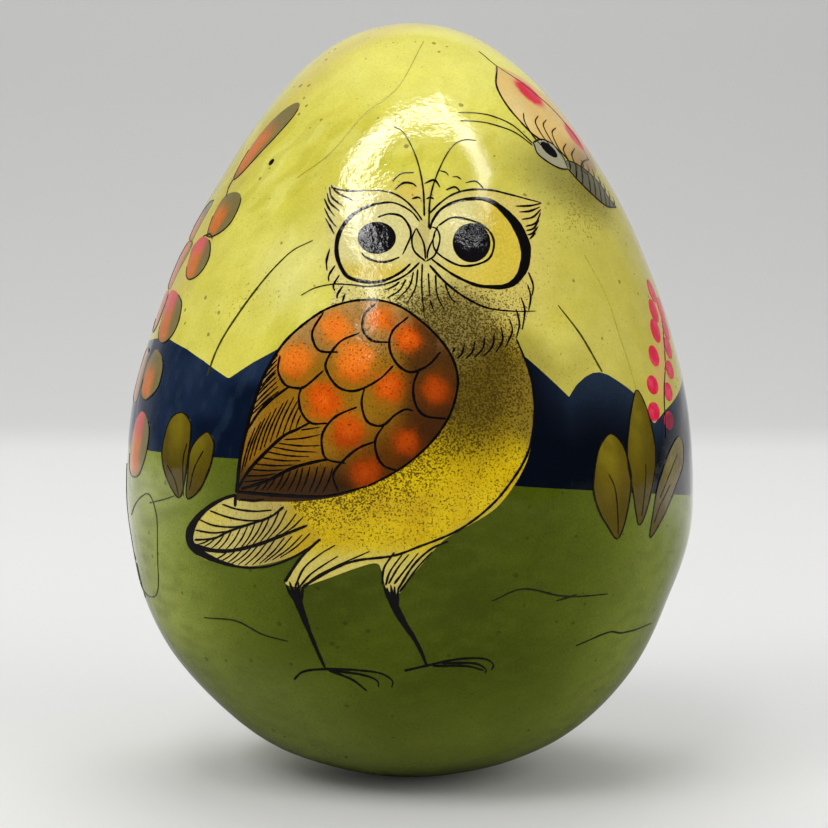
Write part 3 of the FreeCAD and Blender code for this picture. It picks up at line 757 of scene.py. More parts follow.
OWL_OUTLINE = [
    (-15.3, 117.6), (-12, 116.6), (-8.6, 116.6), (-4.5, 116.3), (-1, 114.6), (2.6, 111.2), (5.5, 114.3),
    (9.4, 116.4), (14.4, 116.7), (24.3, 114.6), (23.2, 109), (22.4, 101.6), (22.2, 97), (20.8, 92.6),
    (19.2, 89.3), (20.4, 86.3), (21.7, 82.5), (22.2, 75.5), (21.4, 69.2), (19.4, 64.6), (16.2, 60.2),
    (13.2, 57.8), (8.2, 55), (5, 52.8), (-0.2, 46.6), (-2.1, 43.9), (-4.4, 44.6), (-5.3, 47.9), (-6.3, 49.4),
    (-10, 48.4), (-16.2, 45.9), (-20, 44.6), (-22.9, 45.3), (-20.1, 49.8), (-16.5, 53.6), (-19, 57),
    (-22, 62), (-20, 80), (-16, 93), (-14.2, 98), (-15.6, 102), (-15, 105.5), (-15.9, 112)]
TAIL_OUTLINE = [(-32, 60.9), (-36.4, 58.9), (-40.2, 55.3), (-41.7, 51.6), (-40.4, 49.3), (-36.4, 47.9),
                (-29.9, 47.8), (-23.5, 49.4), (-18.4, 52), (-15.5, 54.5), (-17.5, 59), (-24, 61.4)]
WING_OUTLINE = [(-31.9, 61.2), (-31.1, 67.6), (-29.7, 73.8), (-27.3, 81.6), (-24, 87.6), (-20.4, 91.4),
                (-15.7, 94.7), (-11.2, 96.2), (-6.8, 96.5), (-2.9, 95.7), (0.4, 93.8), (4.1, 90.6), (7, 86.8),
                (8.3, 83), (8.1, 79.7), (6.7, 75.6), (3.7, 71.3), (-0.1, 67.8), (-3.7, 65.4), (-7.8, 63.3),
                (-12.8, 61.5), (-18.9, 60.4), (-26, 60), (-31.6, 59.9)]
FEATHER_HEARTS = [  # chart x and z, and the radius of the orange heart
    (-13.8, 91.6, 3.7), (-5.6, 93.2, 3), (-0.7, 89.6, 3.3), (-10.1, 85.4, 4.4), (-21, 85.5, 4),
    (-15.8, 78.6, 3.9), (-3.9, 81.1, 3.5), (4.3, 80.3, 3.4), (-11.4, 72.9, 3.9), (-0.9, 71.2, 3.3),
    (-8.1, 65.5, 3.6)]
HEART_GLOW = 1.5  # how far the faint glow reaches past a heart
LEFT_EYE_WHITE = [(-13.3, 108), (-12, 110.8), (-9.3, 113.1), (-4.5, 114.2), (-1.2, 113.4), (1.4, 110.8),
                  (0.2, 107), (1.2, 104.2), (-1.8, 101.7), (-5.5, 100), (-9.4, 100.1), (-12.2, 101.6),
                  (-13.5, 104.8)]
RIGHT_EYE_WHITE = [(3.6, 109.6), (5.5, 113), (9.8, 114.8), (14.1, 114.8), (17.5, 112.6), (20, 109),
                   (20.9, 105), (20, 101.3), (17, 99), (12.7, 99.1), (9.1, 100.5), (5.6, 102.6), (3, 104.2),
                   (3, 107)]


def body_colours(x, z):
    """Golden breast under a spray of dark specks that thickens towards the wing, and a shaded face."""
    points = np.stack([x, z], axis=1)
    rim = distance_to(points, smooth_line(OWL_OUTLINE[20:26], 1.0))
    from_wing = distance_to(points, smooth_line(WING_OUTLINE[10:24], 1.0))
    shade = ease(1.5 * (1 - np.hypot((x - 11) / 16, (z - 83) / 19)))
    under_beak = ease(1.4 * (1 - np.hypot((x - 6.5) / 12, (z - 92) / 11)))
    face = tint((222, 210, 126), (212, 194, 100), ease((x - 2) / 12))
    legs = ease((54 - z) / 5)
    colours = layered(
        (214, 184, 14),
        ((200, 166, 12), 0.5 + 0.3 * waves(upright(x, z), 9, 51)),
        ((102, 86, 20), shade),
        ((128, 108, 34), 0.85 * ease(1.5 * soft_spot(x, z, (22, 79), 8, 15))),
        (face, ease((z - 87 + 0.55 * (np.abs(x - 7) - 9)) / 8)),
        ((136, 122, 62), 0.95 * under_beak),
        ((190, 176, 108), 0.7 * soft_spot(x, z, (2.5, 108), 6, 9)),
        ((206, 194, 110), 0.85 * legs),
        ((160, 150, 74), 0.6 * ease((1.5 - rim) / 1.2)))
    specks = 0.71 + 0.26 * ease(1 - from_wing / 9) + 0.3 * shade + 0.12 * under_beak
    specks = specks - 0.42 * ease((z - 97) / 8)
    return with_specks(colours, np.clip(specks * (1 - 0.7 * legs) * ease((rim - 0.3) / 1.2), 0, 1))


def tail_colours(x, z):
    """Pale yellow tail, browner where it leaves the body."""
    colours = layered(
        (206, 192, 108),
        ((178, 160, 84), ease((x + 33) / 8)),
        ((216, 198, 88), 0.7 * soft_spot(x, z, (-37, 56), 7, 5)),
        ((190, 158, 24), ease((x + 25) / 6)))
    return with_specks(colours, 0.5)


def wing_colours(x, z):
    """Tan to dark brown wing with a small airbrushed orange heart in each feather."""
    places = upright(x, z)
    rim = distance_to(np.stack([x, z], axis=1), smooth_line(WING_OUTLINE[2:9], 1.0))
    colours = layered(
        (166, 124, 60),
        ((150, 106, 18), ease((90 - z) / 6)),
        ((82, 44, 6), ease((80 - z + 0.7 * (x + 4)) / 13)),
        ((60, 32, 10), 0.8 * ease((x + 4) / 5) * ease((97 - z) / 6)),
        ((52, 31, 9), 0.9 * ease((69 - z) / 6) * ease((-8 - x) / 5)),
        ((190, 150, 96), 0.4 * ease(waves(places, 4, 61)) * ease((z - 86) / 5)),
        ((190, 150, 84), 0.6 * ease(1 - rim / 2.6)))
    dim = ease(ease((x + 8) / 12) * ease((88 - z) / 8) + 0.9 * ease((78 - z) / 10))
    heart = layered(
        (216, 82, 3),
        ((244, 128, 30), ease((z - 80) / 6) * ease((-2 - x) / 5)),
        ((158, 56, 1), 0.9 * dim))
    uneven = 0.2 * waves(places, 2.5, 63)
    for cx, cz, reach in FEATHER_HEARTS:
        away = np.hypot(x - cx, z - cz) + uneven
        colours = layered(
            colours,
            (heart, 0.28 * ease((reach + HEART_GLOW - away) / 3)),
            (heart, 0.95 * ease((reach - away) / 2.3)),
            ((255, 122, 30), (0.5 - 0.35 * dim) * ease((2 - away) / 2) * ease((x + 26) / 3)))
    return with_specks(colours, 0.56 + 0.2 * soft_spot(x, z, (-4, 87), 13, 9))


def eye_colours(x, z):
    """Cream ground of the eyes, golden at their outer rims."""
    colours = layered(
        (222, 212, 140),
        ((212, 186, 56), 0.9 * ease((x - 10.5) / 5)),
        ((214, 190, 70), 0.85 * ease((104.5 - z) / 3)),
        ((192, 176, 112), 0.5 * soft_spot(x, z, (2.5, 105), 6, 7)))
    return with_specks(colours, 0.25)


def ellipse(centre, reach_x, reach_z, tilt=0.0):
    """An ellipse in the chart, tilted in degrees."""
    count = max(12, int(2 * math.pi * max(reach_x, reach_z) / ELLIPSE_STEP))
    t = np.linspace(0, 2 * math.pi, count, endpoint=False)
    turn = math.radians(tilt)
    x, z = reach_x * np.cos(t), reach_z * np.sin(t)
    return np.stack([centre[0] + x * math.cos(turn) - z * math.sin(turn),
                     centre[1] + x * math.sin(turn) + z * math.cos(turn)], axis=1)


LEFT_PUPIL = ellipse((-6.3, 107.8), 3.5, 2.95)
RIGHT_PUPIL = ellipse((11, 106.9), 3.45, 3.6)


def flat_ink(x, z):
    """The same dark ink all over."""
    return with_specks(np.full((len(x), 3), (14, 10, 14)), 0.0)


# ---------------------------------------------------------------- owl: ink

def owl_head(pen):
    """Eyes, brows, tufts, beak and the small feathers of the face."""
    pen.lines([
        [(-6.2, 111.6), (-4, 112.2), (-1.8, 111.7), (-0.4, 109.9), (-0.1, 108.2), (-0.9, 106.2),
         (-1.6, 104.7)],
        [(-2.1, 104.3), (-4.2, 103.5), (-6.2, 103.45), (-8.2, 104.2), (-9.1, 105.1)],
        [(4.9, 110), (7.2, 111.45), (9.3, 111.45), (12.5, 110.4), (14.4, 108.8), (15.1, 106.8), (14.6, 104.6),
         (13.3, 103.4), (10.7, 102.7), (8.3, 102.9), (5.4, 104.5), (4.1, 106.1), (4.1, 108.2), (4.9, 110)],
    ], 0.4, 0.5, 0.5, 0.3)
    pen.line([(1.5, 110.8), (0, 112.6), (-2.4, 114), (-4.5, 114.35), (-8, 113.6), (-11, 111.8),
              (-13.2, 108.6), (-13.6, 104.8), (-12.2, 101.4), (-10.2, 100.15), (-6.7, 99.7),
              (-4.2, 100.3), (-1.8, 101.6), (-0.1, 103.1)], 0.35, 0.4, 0.75, 1.0, 0.85, 0.6, 0.5)
    pen.line([(3.4, 109.3), (3.95, 111), (5.5, 113.1), (8.2, 114.5), (11.3, 115.05), (14.1, 114.85),
              (16.5, 113.4), (19.3, 110.3), (21, 106.3), (20.7, 102.6), (19.1, 100), (16.95, 98.9),
              (14.1, 98.85), (11.5, 99.3), (8, 100.9), (5.6, 102.5), (3.6, 104)],
             0.5, 0.6, 0.7, 0.8, 1.3, 2.1, 2.4, 2.1, 1.3, 0.8, 0.65, 0.5, 0.4)
    pen.line([(1.5, 103.3), (-0.9, 101.1), (-4, 99.6), (-7.5, 98.95), (-10.8, 99.25), (-14.2, 99.4),
              (-17.6, 98.7), (-20.2, 97.3)], 0.45, 0.4, 0.3, 0.15)
    pen.line([(-14.9, 117.2), (-12, 116.6), (-8.6, 116.6), (-5.8, 116.65)], 0.3, 0.45, 0.25, 0.2)
    pen.line([(-5.8, 116.65), (-3.2, 116), (-1, 114.6), (0.9, 112.6), (2, 111)], 0.3, 0.4, 0.35)
    pen.line([(3.2, 112.2), (5.5, 114.4), (8, 116), (10.95, 116.75), (14.4, 116.8), (17.8, 116.1),
              (21.4, 115.2), (24.3, 114.5)], 0.4, 0.45, 0.4, 0.2)
    pen.lines([
        [(-14.9, 117.7), (-13.6, 116.2), (-10.7, 114.8)],
        [(-15.2, 117.4), (-14.6, 115.3), (-12.5, 113.7)],
        [(-15.6, 116.3), (-15, 114.4), (-13.1, 112.7)],
        [(-16.1, 115.2), (-15.2, 113.3), (-14, 111.8)],
        [(-16, 113.4), (-15, 111.4), (-13.7, 109.8)],
        [(-15.8, 111.5), (-14.8, 109.8), (-14.1, 108.5)],
        [(-14.9, 105.9), (-15.5, 103.6), (-15.4, 101.8)],
        [(-13.9, 102.8), (-15, 101.1), (-15.1, 99.9)],
        [(-13.1, 101.1), (-14.2, 99.2), (-13.9, 98.1)],
        [(-12.4, 99.1), (-13.4, 97.6), (-13.5, 96.7)],
        [(-12.1, 97.6), (-12.5, 96.1)],
        [(24.3, 114.4), (22, 113.9), (19.3, 113.8)],
        [(24, 113.7), (22, 112.9), (20, 112.7)],
        [(24.2, 113.3), (22.6, 111.8), (20.4, 111.3)],
        [(24.1, 112.7), (23.1, 110.7), (21.1, 110)],
        [(23.8, 111.3), (22.7, 109.7), (21.2, 109.2)],
        [(23.6, 110.1), (22.5, 108.8), (21.4, 108.4)],
        [(23.1, 108.9), (21.8, 107.6)],
    ], 0.25, 0.5, 0.25)
    pen.lines([
        [(-3.1, 116.8), (-1.5, 118), (0.2, 117.9), (0.95, 117.3)],
        [(2.4, 117.9), (4.25, 118.55), (5.3, 117.2)],
        [(6.4, 116.7), (8.1, 117.25), (9.15, 116.25)],
        [(0.1, 115), (1.2, 115.3), (1.8, 115)],
        [(2.75, 115), (3.55, 115.3), (4.15, 115)],
    ], 0.3, 0.45, 0.3)
    pen.lines([
        [(-3.5, 118.4), (-1.9, 119.8), (0.5, 120)],
        [(5.2, 120.4), (6.4, 120), (6.9, 119.4)],
        [(7.6, 119.2), (8.5, 119.2), (9.2, 118.7)],
        [(10, 118.1), (12, 118.35), (13.4, 117)],
    ], 0.2, 0.28, 0.2)
    pen.line([(-3.2, 128.8), (-1.2, 127.3), (1, 122.6), (2.15, 117.2), (2.4, 111.8)], 0.15, 0.3, 0.45)
    pen.line([(12.1, 126.2), (9.7, 126.2), (7.4, 124.7), (5, 120.2), (3.5, 115.2), (3.2, 109.5)],
             0.15, 0.3, 0.45)
    pen.line([(0.9, 109.6), (0.1, 107.5), (0.6, 105.3), (2.6, 103.5)], 0.3, 0.45, 0.4)
    pen.line([(0.9, 109.6), (2.25, 106.8), (2.6, 103.9)], 0.3, 0.4, 0.4)
    pen.line([(4.4, 108.5), (3.1, 105.6), (2.9, 104)], 0.25, 0.4, 0.4)
    pen.line([(3.4, 109.9), (4.75, 109.3), (5.2, 107.4), (4.3, 104.7), (2.7, 103.5)], 0.3, 0.45, 0.4)


def owl_ruff(pen):
    """Whisker fan under the beak, the cheek line and the fringe around the neck."""
    pen.lines([
        [(-2.1, 99.8), (-3.3, 98.9), (-4.9, 98.3)],
        [(-1, 100.2), (-2.2, 98.2), (-4.5, 96.8)],
        [(0.4, 101.6), (-0.4, 98.9), (-2.9, 96.3)],
        [(1.2, 102.1), (0.7, 98.6), (-0.9, 95.8)],
        [(2, 103.1), (1.9, 98.5), (2.4, 93.2)],
        [(3.1, 101.4), (3.3, 97)],
        [(3.35, 96.6), (4, 94.7)],
        [(4.4, 101.1), (4.7, 97.4), (6.1, 94.5)],
        [(6.1, 99.5), (7.1, 97), (8.1, 96)],
    ], 0.4, 0.35, 0.18)
    pen.line([(3.3, 102.85), (5.8, 100.1), (8.6, 97.75), (11.65, 95.9), (14.7, 94.8), (19.1, 94.4),
              (22.9, 94.45)], 0.55, 0.45, 0.15)
    pen.lines([
        [(21.5, 101.6), (22.35, 99.2), (22.1, 97.2)],
        [(21.3, 99.3), (21.85, 97), (21.4, 94.4)],
        [(20, 97), (20.7, 94.6), (20.2, 91.1)],
        [(19.1, 94.8), (19.65, 92.2), (19.1, 89.7)],
        [(17.8, 93.1), (18.3, 90.8), (17, 87.9)],
        [(16.2, 91.7), (16.5, 89.2), (15.2, 87)],
        [(15, 90.5), (14.6, 88.1), (13, 86.4)],
        [(13.2, 89.8), (12.9, 87.8), (11.3, 86.1)],
        [(11.5, 89.2), (11, 87.2), (9.7, 85.9)],
        [(9.6, 88.6), (9, 86.7), (8.1, 86)],
        [(7.8, 88), (7.4, 87)],
    ], 0.25, 0.45, 0.25)


def owl_body(pen):
    """Breast line, thighs, legs and toes."""
    pen.line([(19.1, 89.4), (21, 84.6), (22, 80.5), (22.2, 75.5), (21.2, 69.5), (18.2, 64.2), (14, 59.4),
              (8.3, 55.3), (1.2, 52.4), (-3.3, 50.8), (-10, 49.8), (-14.5, 47.9), (-19.7, 44.6)],
             0.35, 0.5, 0.55, 0.5, 0.5, 0.55, 0.6)
    pen.line([(-16.5, 53.6), (-20.1, 49.8), (-23, 45.3)], 0.5, 0.6, 0.7)
    pen.lines([
        [(-13.6, 52.6), (-16.4, 50.8), (-19.4, 48.1), (-21.1, 44.4)],
        [(-13.1, 50.6), (-15.4, 49.1), (-18.2, 47), (-20.3, 44.5)],
        [(-7.4, 51.6), (-12.5, 49.2), (-17, 46.7), (-19.7, 44.3)],
        [(-1.6, 51.1), (-3.8, 47.9), (-4.6, 45.3)],
        [(-0.4, 51.1), (-2.4, 48.6), (-4.1, 45.6)],
        [(1.3, 51.4), (-0.7, 48.8), (-3.1, 45.6)],
        [(3.8, 51.6), (1, 48.5), (-2.1, 44.1)],
    ], 0.25, 0.4, 0.5)
    pen.line([(-3, 51.5), (-4.9, 48.5), (-5.2, 45.4)], 0.4, 0.5)
    pen.line([(6.6, 53.4), (3.5, 52), (0.4, 49.1), (-2.5, 44.4)], 0.4, 0.55)
    pen.lines([
        [(-22.8, 44.9), (-22, 43.3), (-20.9, 41.8)],
        [(-22.1, 45.5), (-21.5, 43.6), (-20.8, 41.6)],
        [(-21, 45.2), (-20.9, 43), (-20.6, 41.2)],
        [(-20.4, 45.5), (-20.5, 43.3), (-20.4, 41.2)],
        [(-19.6, 44.8), (-19.9, 43), (-20.2, 41.2)],
        [(-5, 45.4), (-4.4, 43.6), (-3.4, 41.8)],
        [(-4.4, 45), (-3.9, 43.2), (-3.2, 41.4)],
        [(-3.7, 45.5), (-3.4, 43.4), (-3, 41.4)],
        [(-3, 45.2), (-3, 43.2), (-2.8, 41.2)],
        [(-2.3, 44.8), (-2.5, 43), (-2.6, 41.2)],
    ], 0.25, 0.75, 0.8)
    pen.line([(-21, 43.4), (-20.5, 41.5), (-18.9, 36.9), (-17.3, 32.6), (-15.8, 29)],
             1.9, 1.5, 0.9, 0.75, 0.5)
    pen.line([(-3.5, 43.6), (-3, 41.5), (-1.2, 38), (0.5, 35.3), (1.9, 32.4), (2.8, 29.9)],
             1.9, 1.75, 1.3, 0.95, 0.75, 0.5)
    pen.lines([
        [(-21.7, 26.2), (-19.9, 28), (-15.8, 28.8), (-10.2, 28.9), (-5.7, 28.4), (-3.5, 26.9), (-3.6, 25.4)],
        [(-14.7, 28.6), (-9, 28), (-6.3, 26.9), (-6, 25.5)],
        [(-15.2, 28.6), (-11, 27), (-8.1, 24.7)],
        [(-1.3, 28.9), (2.8, 29.9), (8.3, 31), (13, 31), (15, 29.8), (14.7, 28.6)],
        [(5.6, 30.3), (11.4, 30.1), (13.6, 28.9), (13.5, 28)],
        [(3.9, 29.8), (10, 29.6), (13.3, 28.6)],
    ], 0.45, 0.5, 0.42, 0.25)


def owl_wing(pen):
    """Wing edge, feather scallops, long feathers with their hatching."""
    pen.line(WING_OUTLINE[:20], 0.8, 0.75, 0.6, 0.5, 0.5, 0.55, 0.5, 0.45)
    pen.line([(-31.9, 61.5), (-22, 61.2), (-15, 61.4), (-7.8, 63.3)], 0.7, 0.8, 0.6, 0.4)
    pen.lines([
        [(-15.9, 94.3), (-17.8, 91.2), (-17.8, 89.2), (-16.5, 87.3), (-13.1, 87.1)],
        [(-6.5, 95.8), (-8.4, 93.9), (-8.7, 91.1), (-7, 89.2), (-3.9, 88.9)],
        [(-0.5, 93.5), (-3.4, 90.9), (-3.9, 87.9), (-2.6, 85.1), (-0.1, 83.6), (3, 84.8), (5.3, 87.2)],
        [(-9.2, 90.6), (-12.9, 88.9), (-15.3, 85.5), (-15.1, 83.4), (-13.3, 81), (-10.9, 80.2), (-8.4, 80.8),
         (-5.4, 82.6), (-3.2, 84.8)],
        [(-23.9, 86.4), (-24.2, 83.6), (-22.9, 81.2), (-20.9, 80.6), (-19.2, 80.9), (-15.8, 83.8)],
        [(-19.7, 81), (-20.3, 79), (-19.8, 76.3), (-18, 74.4), (-15, 74.4)],
        [(-8.4, 80.8), (-8.9, 78.1), (-8.1, 75.1), (-6.4, 74.1), (-4.8, 74.3), (-2.9, 76),
         (-1, 77), (0.4, 76.7)],
        [(1.6, 84.4), (0.4, 81.4), (0.7, 78.1), (2.4, 75.9), (6.3, 75.3)],
        [(-9.7, 77.4), (-13.6, 75.6), (-15.8, 72.8), (-16, 70.1), (-15.1, 68), (-11.7, 67.3)],
        [(-4.8, 74.3), (-6.4, 71.6), (-6.1, 68.8), (-4.8, 66.9), (-2.2, 66)],
        [(-6.4, 71.3), (-9.7, 69.9), (-12.8, 67.1), (-14, 64.9), (-13.1, 62.2)],
    ], 0.4, 0.55, 0.55, 0.4)
    pen.line([(-31.7, 61.9), (-29.4, 65.6), (-26, 69.3), (-23, 72), (-20.6, 73.2), (-18.2, 74.5)],
             0.5, 0.8, 0.7, 0.5)
    pen.line([(-31, 62), (-26, 63.8), (-21.7, 66.1), (-18, 67.3), (-14.9, 68)], 0.6, 0.8, 0.6)
    pen.line([(-29.9, 72.6), (-27.4, 76.4), (-24.6, 79), (-22, 80.9)], 0.45, 0.65, 0.5)
    pen.hatch([(-29.2, 75.4), (-28.2, 78.6), (-25.8, 84.6)], [(-24, 80), (-24.5, 83), (-24.2, 86.6)], 9, 0.02,
              0.25, 0.4, 0.25)
    pen.hatch([(-30.9, 65), (-29.4, 67.2), (-25.2, 70.9), (-20.8, 73.4)],
              [(-28.3, 73.4), (-24.4, 77), (-20.9, 79), (-19.9, 75.8)], 11, 0.03, 0.25, 0.4, 0.25)
    pen.hatch([(-22.9, 71.3), (-25.8, 69.3), (-29.2, 65.7), (-30.4, 63.4)],
              [(-16.2, 72.4), (-16.6, 69.5), (-19.8, 67.6), (-26, 64.2)], 9, -0.03, 0.3, 0.4, 0.2)
    pen.hatch([(-14, 66.6), (-18.6, 66.6), (-23, 65.2), (-27, 63.6)],
              [(-16, 61.8), (-20.4, 61.9), (-24.8, 62), (-28.6, 61.8)], 11, 0.04, 0.3, 0.4, 0.2)
    pen.line([(-19.9, 73.1), (-18, 73.4), (-16.3, 73.7)], 0.3, 0.35, 0.2)
    pen.line([(-31.3, 60.1), (-28.5, 60), (-26.6, 60.4)], 0.4, 0.6, 0.3)
    pen.line([(-32.1, 61), (-32.2, 58.7)], 0.7, 0.6)


def owl_tail(pen):
    """Tail feathers: a heavy outline, two shafts and hatching."""
    pen.line([(-31.9, 60.9), (-34.5, 60), (-37.4, 58.2), (-40, 55.6), (-41.3, 52.8), (-40.8, 50.6),
              (-38, 49), (-34, 47.9), (-30, 47.6), (-26, 48.1), (-22, 49.7), (-18.4, 51.9), (-16.3, 53.6)],
             0.6, 0.8, 1.1, 1.9, 1.8, 1.0, 0.55, 0.45, 0.45, 0.5, 0.5)
    pen.line([(-40.3, 51.8), (-36.4, 52.5), (-33.6, 54), (-29.6, 55.6), (-25.6, 57.2), (-23, 59.2)],
             0.5, 0.5, 0.55, 0.5)
    pen.line([(-40.6, 50.8), (-37, 50.2), (-33, 50.5), (-28, 52), (-24.4, 53.5), (-18.7, 56)],
             1.1, 0.8, 0.8, 0.55)
    pen.lines([
        [(-34.8, 59), (-32, 58.3), (-28.5, 58.1), (-25.2, 58.5)],
        [(-37.2, 57.6), (-33.8, 56.7), (-30, 56.3), (-27.2, 56.6)],
        [(-39.2, 55.7), (-36.4, 54.9), (-32.8, 54.9), (-29.9, 55.6)],
        [(-40.2, 53.7), (-36.6, 53.5), (-33.4, 54.1)],
    ], 0.35, 0.45, 0.3)
    pen.hatch([(-37.2, 52.2), (-33.4, 53.9), (-28.4, 55.9), (-23.4, 58.6), (-19.4, 57.6)],
              [(-39.8, 51), (-36.6, 50.4), (-32.2, 50.8), (-28, 52.2), (-23.6, 54)], 13, 0.05,
              0.25, 0.34, 0.2)
    pen.hatch([(-34, 50), (-29.5, 51.3), (-24.6, 53.2), (-18.2, 54.6)],
              [(-36.6, 48.4), (-33, 48), (-29, 48.1), (-23.8, 49.8)], 11, 0.04, 0.25, 0.34, 0.2)


# ---------------------------------------------------------------- plants

FULLEST = 0.55  # how far along a leaf of the back it is widest


def leaf_shape(base, tip, left, right):
    """A leaf's outline; left and right are its half widths seen from base to tip."""
    base, tip = np.array(base, float), np.array(tip, float)
    length = np.linalg.norm(tip - base)
    along = (tip - base) / length
    side = np.array([-along[1], along[0]])
    t = 0.5 - 0.5 * np.cos(np.linspace(0, math.pi, max(12, int(1.3 * length / OUTLINE_STEP))))
    bulge = (t / FULLEST) ** (0.5 * FULLEST / (1 - FULLEST)) * ((1 - t) / (1 - FULLEST)) ** 0.5
    spine = base + along * length * t[:, None]
    first = spine + side * left * bulge[:, None]
    second = spine - side * right * bulge[:, None]
    return np.vstack([first[:-1], second[1:][::-1]])


def across_leaf(x, z, base, tip, width):
    """How far along a leaf points are, 0 to 1, and how far to its right in half widths."""
    base, tip = np.array(base, float), np.array(tip, float)
    length = np.linalg.norm(tip - base)
    along = (tip - base) / length
    away = np.stack([x, z], axis=1) - base
    return away @ along / length, away @ np.array([along[1], -along[0]]) / width


def shrub_paint(base, tip):
    """Colours of a shrub leaf: ochre olive, darker in patches, towards its edge and on its right."""

    def colours_of(x, z):
        share, across = across_leaf(x, z, base, tip, SHRUB_HALF_WIDTH)
        colours = layered(
            (84, 70, 2),
            ((122, 108, 18), ease((share - 0.2) / 0.6)),
            ((84, 70, 12), 0.6 * ease((np.abs(across) - 0.55) / 0.45)),
            ((78, 62, 2), 0.45 * ease((across + 0.1) / 0.6)),
            ((94, 80, 14), 0.4 * ease(waves(upright(x, z), 4, 71))))
        return with_specks(colours, 0.35)

    return colours_of


def vine_paint(base, tip, width, tip_colour):
    """Colours of a vine leaf: orange on its left, with its own tip colour, and grey olive on its right."""

    def colours_of(x, z):
        share, across = across_leaf(x, z, base, tip, width)
        colours = layered(
            ORANGE,
            (tip_colour, ease((share - 0.45) / 0.35)),
            (GREY_OLIVE, ease((across - 0.1) / 0.45)),
            (GREY_OLIVE, 0.6 * ease((-across - 0.65) / 0.3)),
            (GREY_OLIVE, 0.7 * ease((0.12 - share) / 0.12)))
        return with_specks(colours, 0.2)

    return colours_of


GREY_OLIVE, ORANGE, PINK = (136, 122, 72), (222, 124, 48), (228, 98, 96)
LEFT_SHRUB_FACING, RIGHT_SHRUB_FACING, VINE_FACING = -60.0, 60.0, -60.0
BACK_LEFT_FACING, BACK_RIGHT_FACING, BACK_SPIKE_FACING = 215.0, 142.0, 178.0
SHRUB_HALF_WIDTH = 4.5
SHRUB_LEAVES = [  # facing, base, tip, outline from the base round by the left, and the veins
    (LEFT_SHRUB_FACING, (10.8, 59.5), (9.6, 75.3),
     [(10.8, 59.5), (6.5, 62.6), (4.3, 66.5), (4.7, 70.5), (6.4, 74), (9.6, 75.3), (12.3, 74), (13.2, 71.6),
      (12.9, 66)],
     [[(10.4, 59.8), (9, 62.8), (6.3, 65.3)], [(11.9, 59.9), (11.6, 66.3), (12.4, 69.7)]]),
    (LEFT_SHRUB_FACING, (13, 59.5), (17.3, 72),
     [(13, 59.5), (13.1, 64), (13.6, 68.5), (15.8, 71.1), (17.8, 72), (19.4, 70.4), (19.6, 68.4),
      (18.9, 65.4), (16.5, 61.3)],
     [[(13.7, 61), (14.9, 65.1), (17.1, 68.6)]]),
    (RIGHT_SHRUB_FACING, (-17, 52.3), (-18.4, 71.7),
     [(-17, 52.3), (-20, 55), (-22.1, 58.3), (-23.1, 62.2), (-21.9, 68.1), (-19.9, 70.9), (-18.2, 71.7),
      (-16.2, 70.5), (-14.5, 67.7), (-13.5, 63.2), (-14.6, 57.8)],
     [[(-19.4, 64.4), (-17.8, 60.8), (-17.1, 53)]]),
    (RIGHT_SHRUB_FACING, (-11.2, 54.3), (-9.1, 79.5),
     [(-11.2, 54.3), (-13.3, 61.5), (-14.3, 67.7), (-13, 73), (-10.9, 77.4), (-9.1, 79.5), (-7.3, 77.2),
      (-5.8, 72.7), (-5, 67.1), (-7.1, 60.6)],
     [[(-8.8, 65.7), (-9.1, 62.4), (-10.6, 56)]]),
    (RIGHT_SHRUB_FACING, (-7.2, 51.7), (6.1, 69.8),
     [(-7.2, 51.7), (-5.6, 59.4), (-2.4, 64.1), (1.6, 67.7), (6.1, 69.8), (9.2, 68.9), (9.9, 66.6),
      (8.6, 64), (3.1, 59.8), (-2.5, 55.2)],
     [[(0.8, 61.1), (-3.8, 57.5), (-6, 54.4)], [(5.4, 66.6), (0, 62.6), (-4, 58.9)]]),
]
BACK_LEAVES = [  # facing, base, tip, and the half widths left and right of the leaf
    (BACK_RIGHT_FACING, (-6, 58), (-11, 76), 4.4, 4.2), (BACK_RIGHT_FACING, (-2, 58), (-1, 80), 3.6, 3.6),
    (BACK_RIGHT_FACING, (3, 57), (10, 73), 3.6, 4.2), (BACK_LEFT_FACING, (-4, 60), (-9, 77), 4.2, 4.2),
    (BACK_LEFT_FACING, (1, 60), (5, 76), 4.4, 4.0)]
for facing, base, tip, left, right in BACK_LEAVES:
    vein = [base, ((base[0] + tip[0]) / 2 + 0.8, (base[1] + tip[1]) / 2), tip]
    SHRUB_LEAVES.append((facing, base, tip, leaf_shape(base, tip, left, right), [vein]))
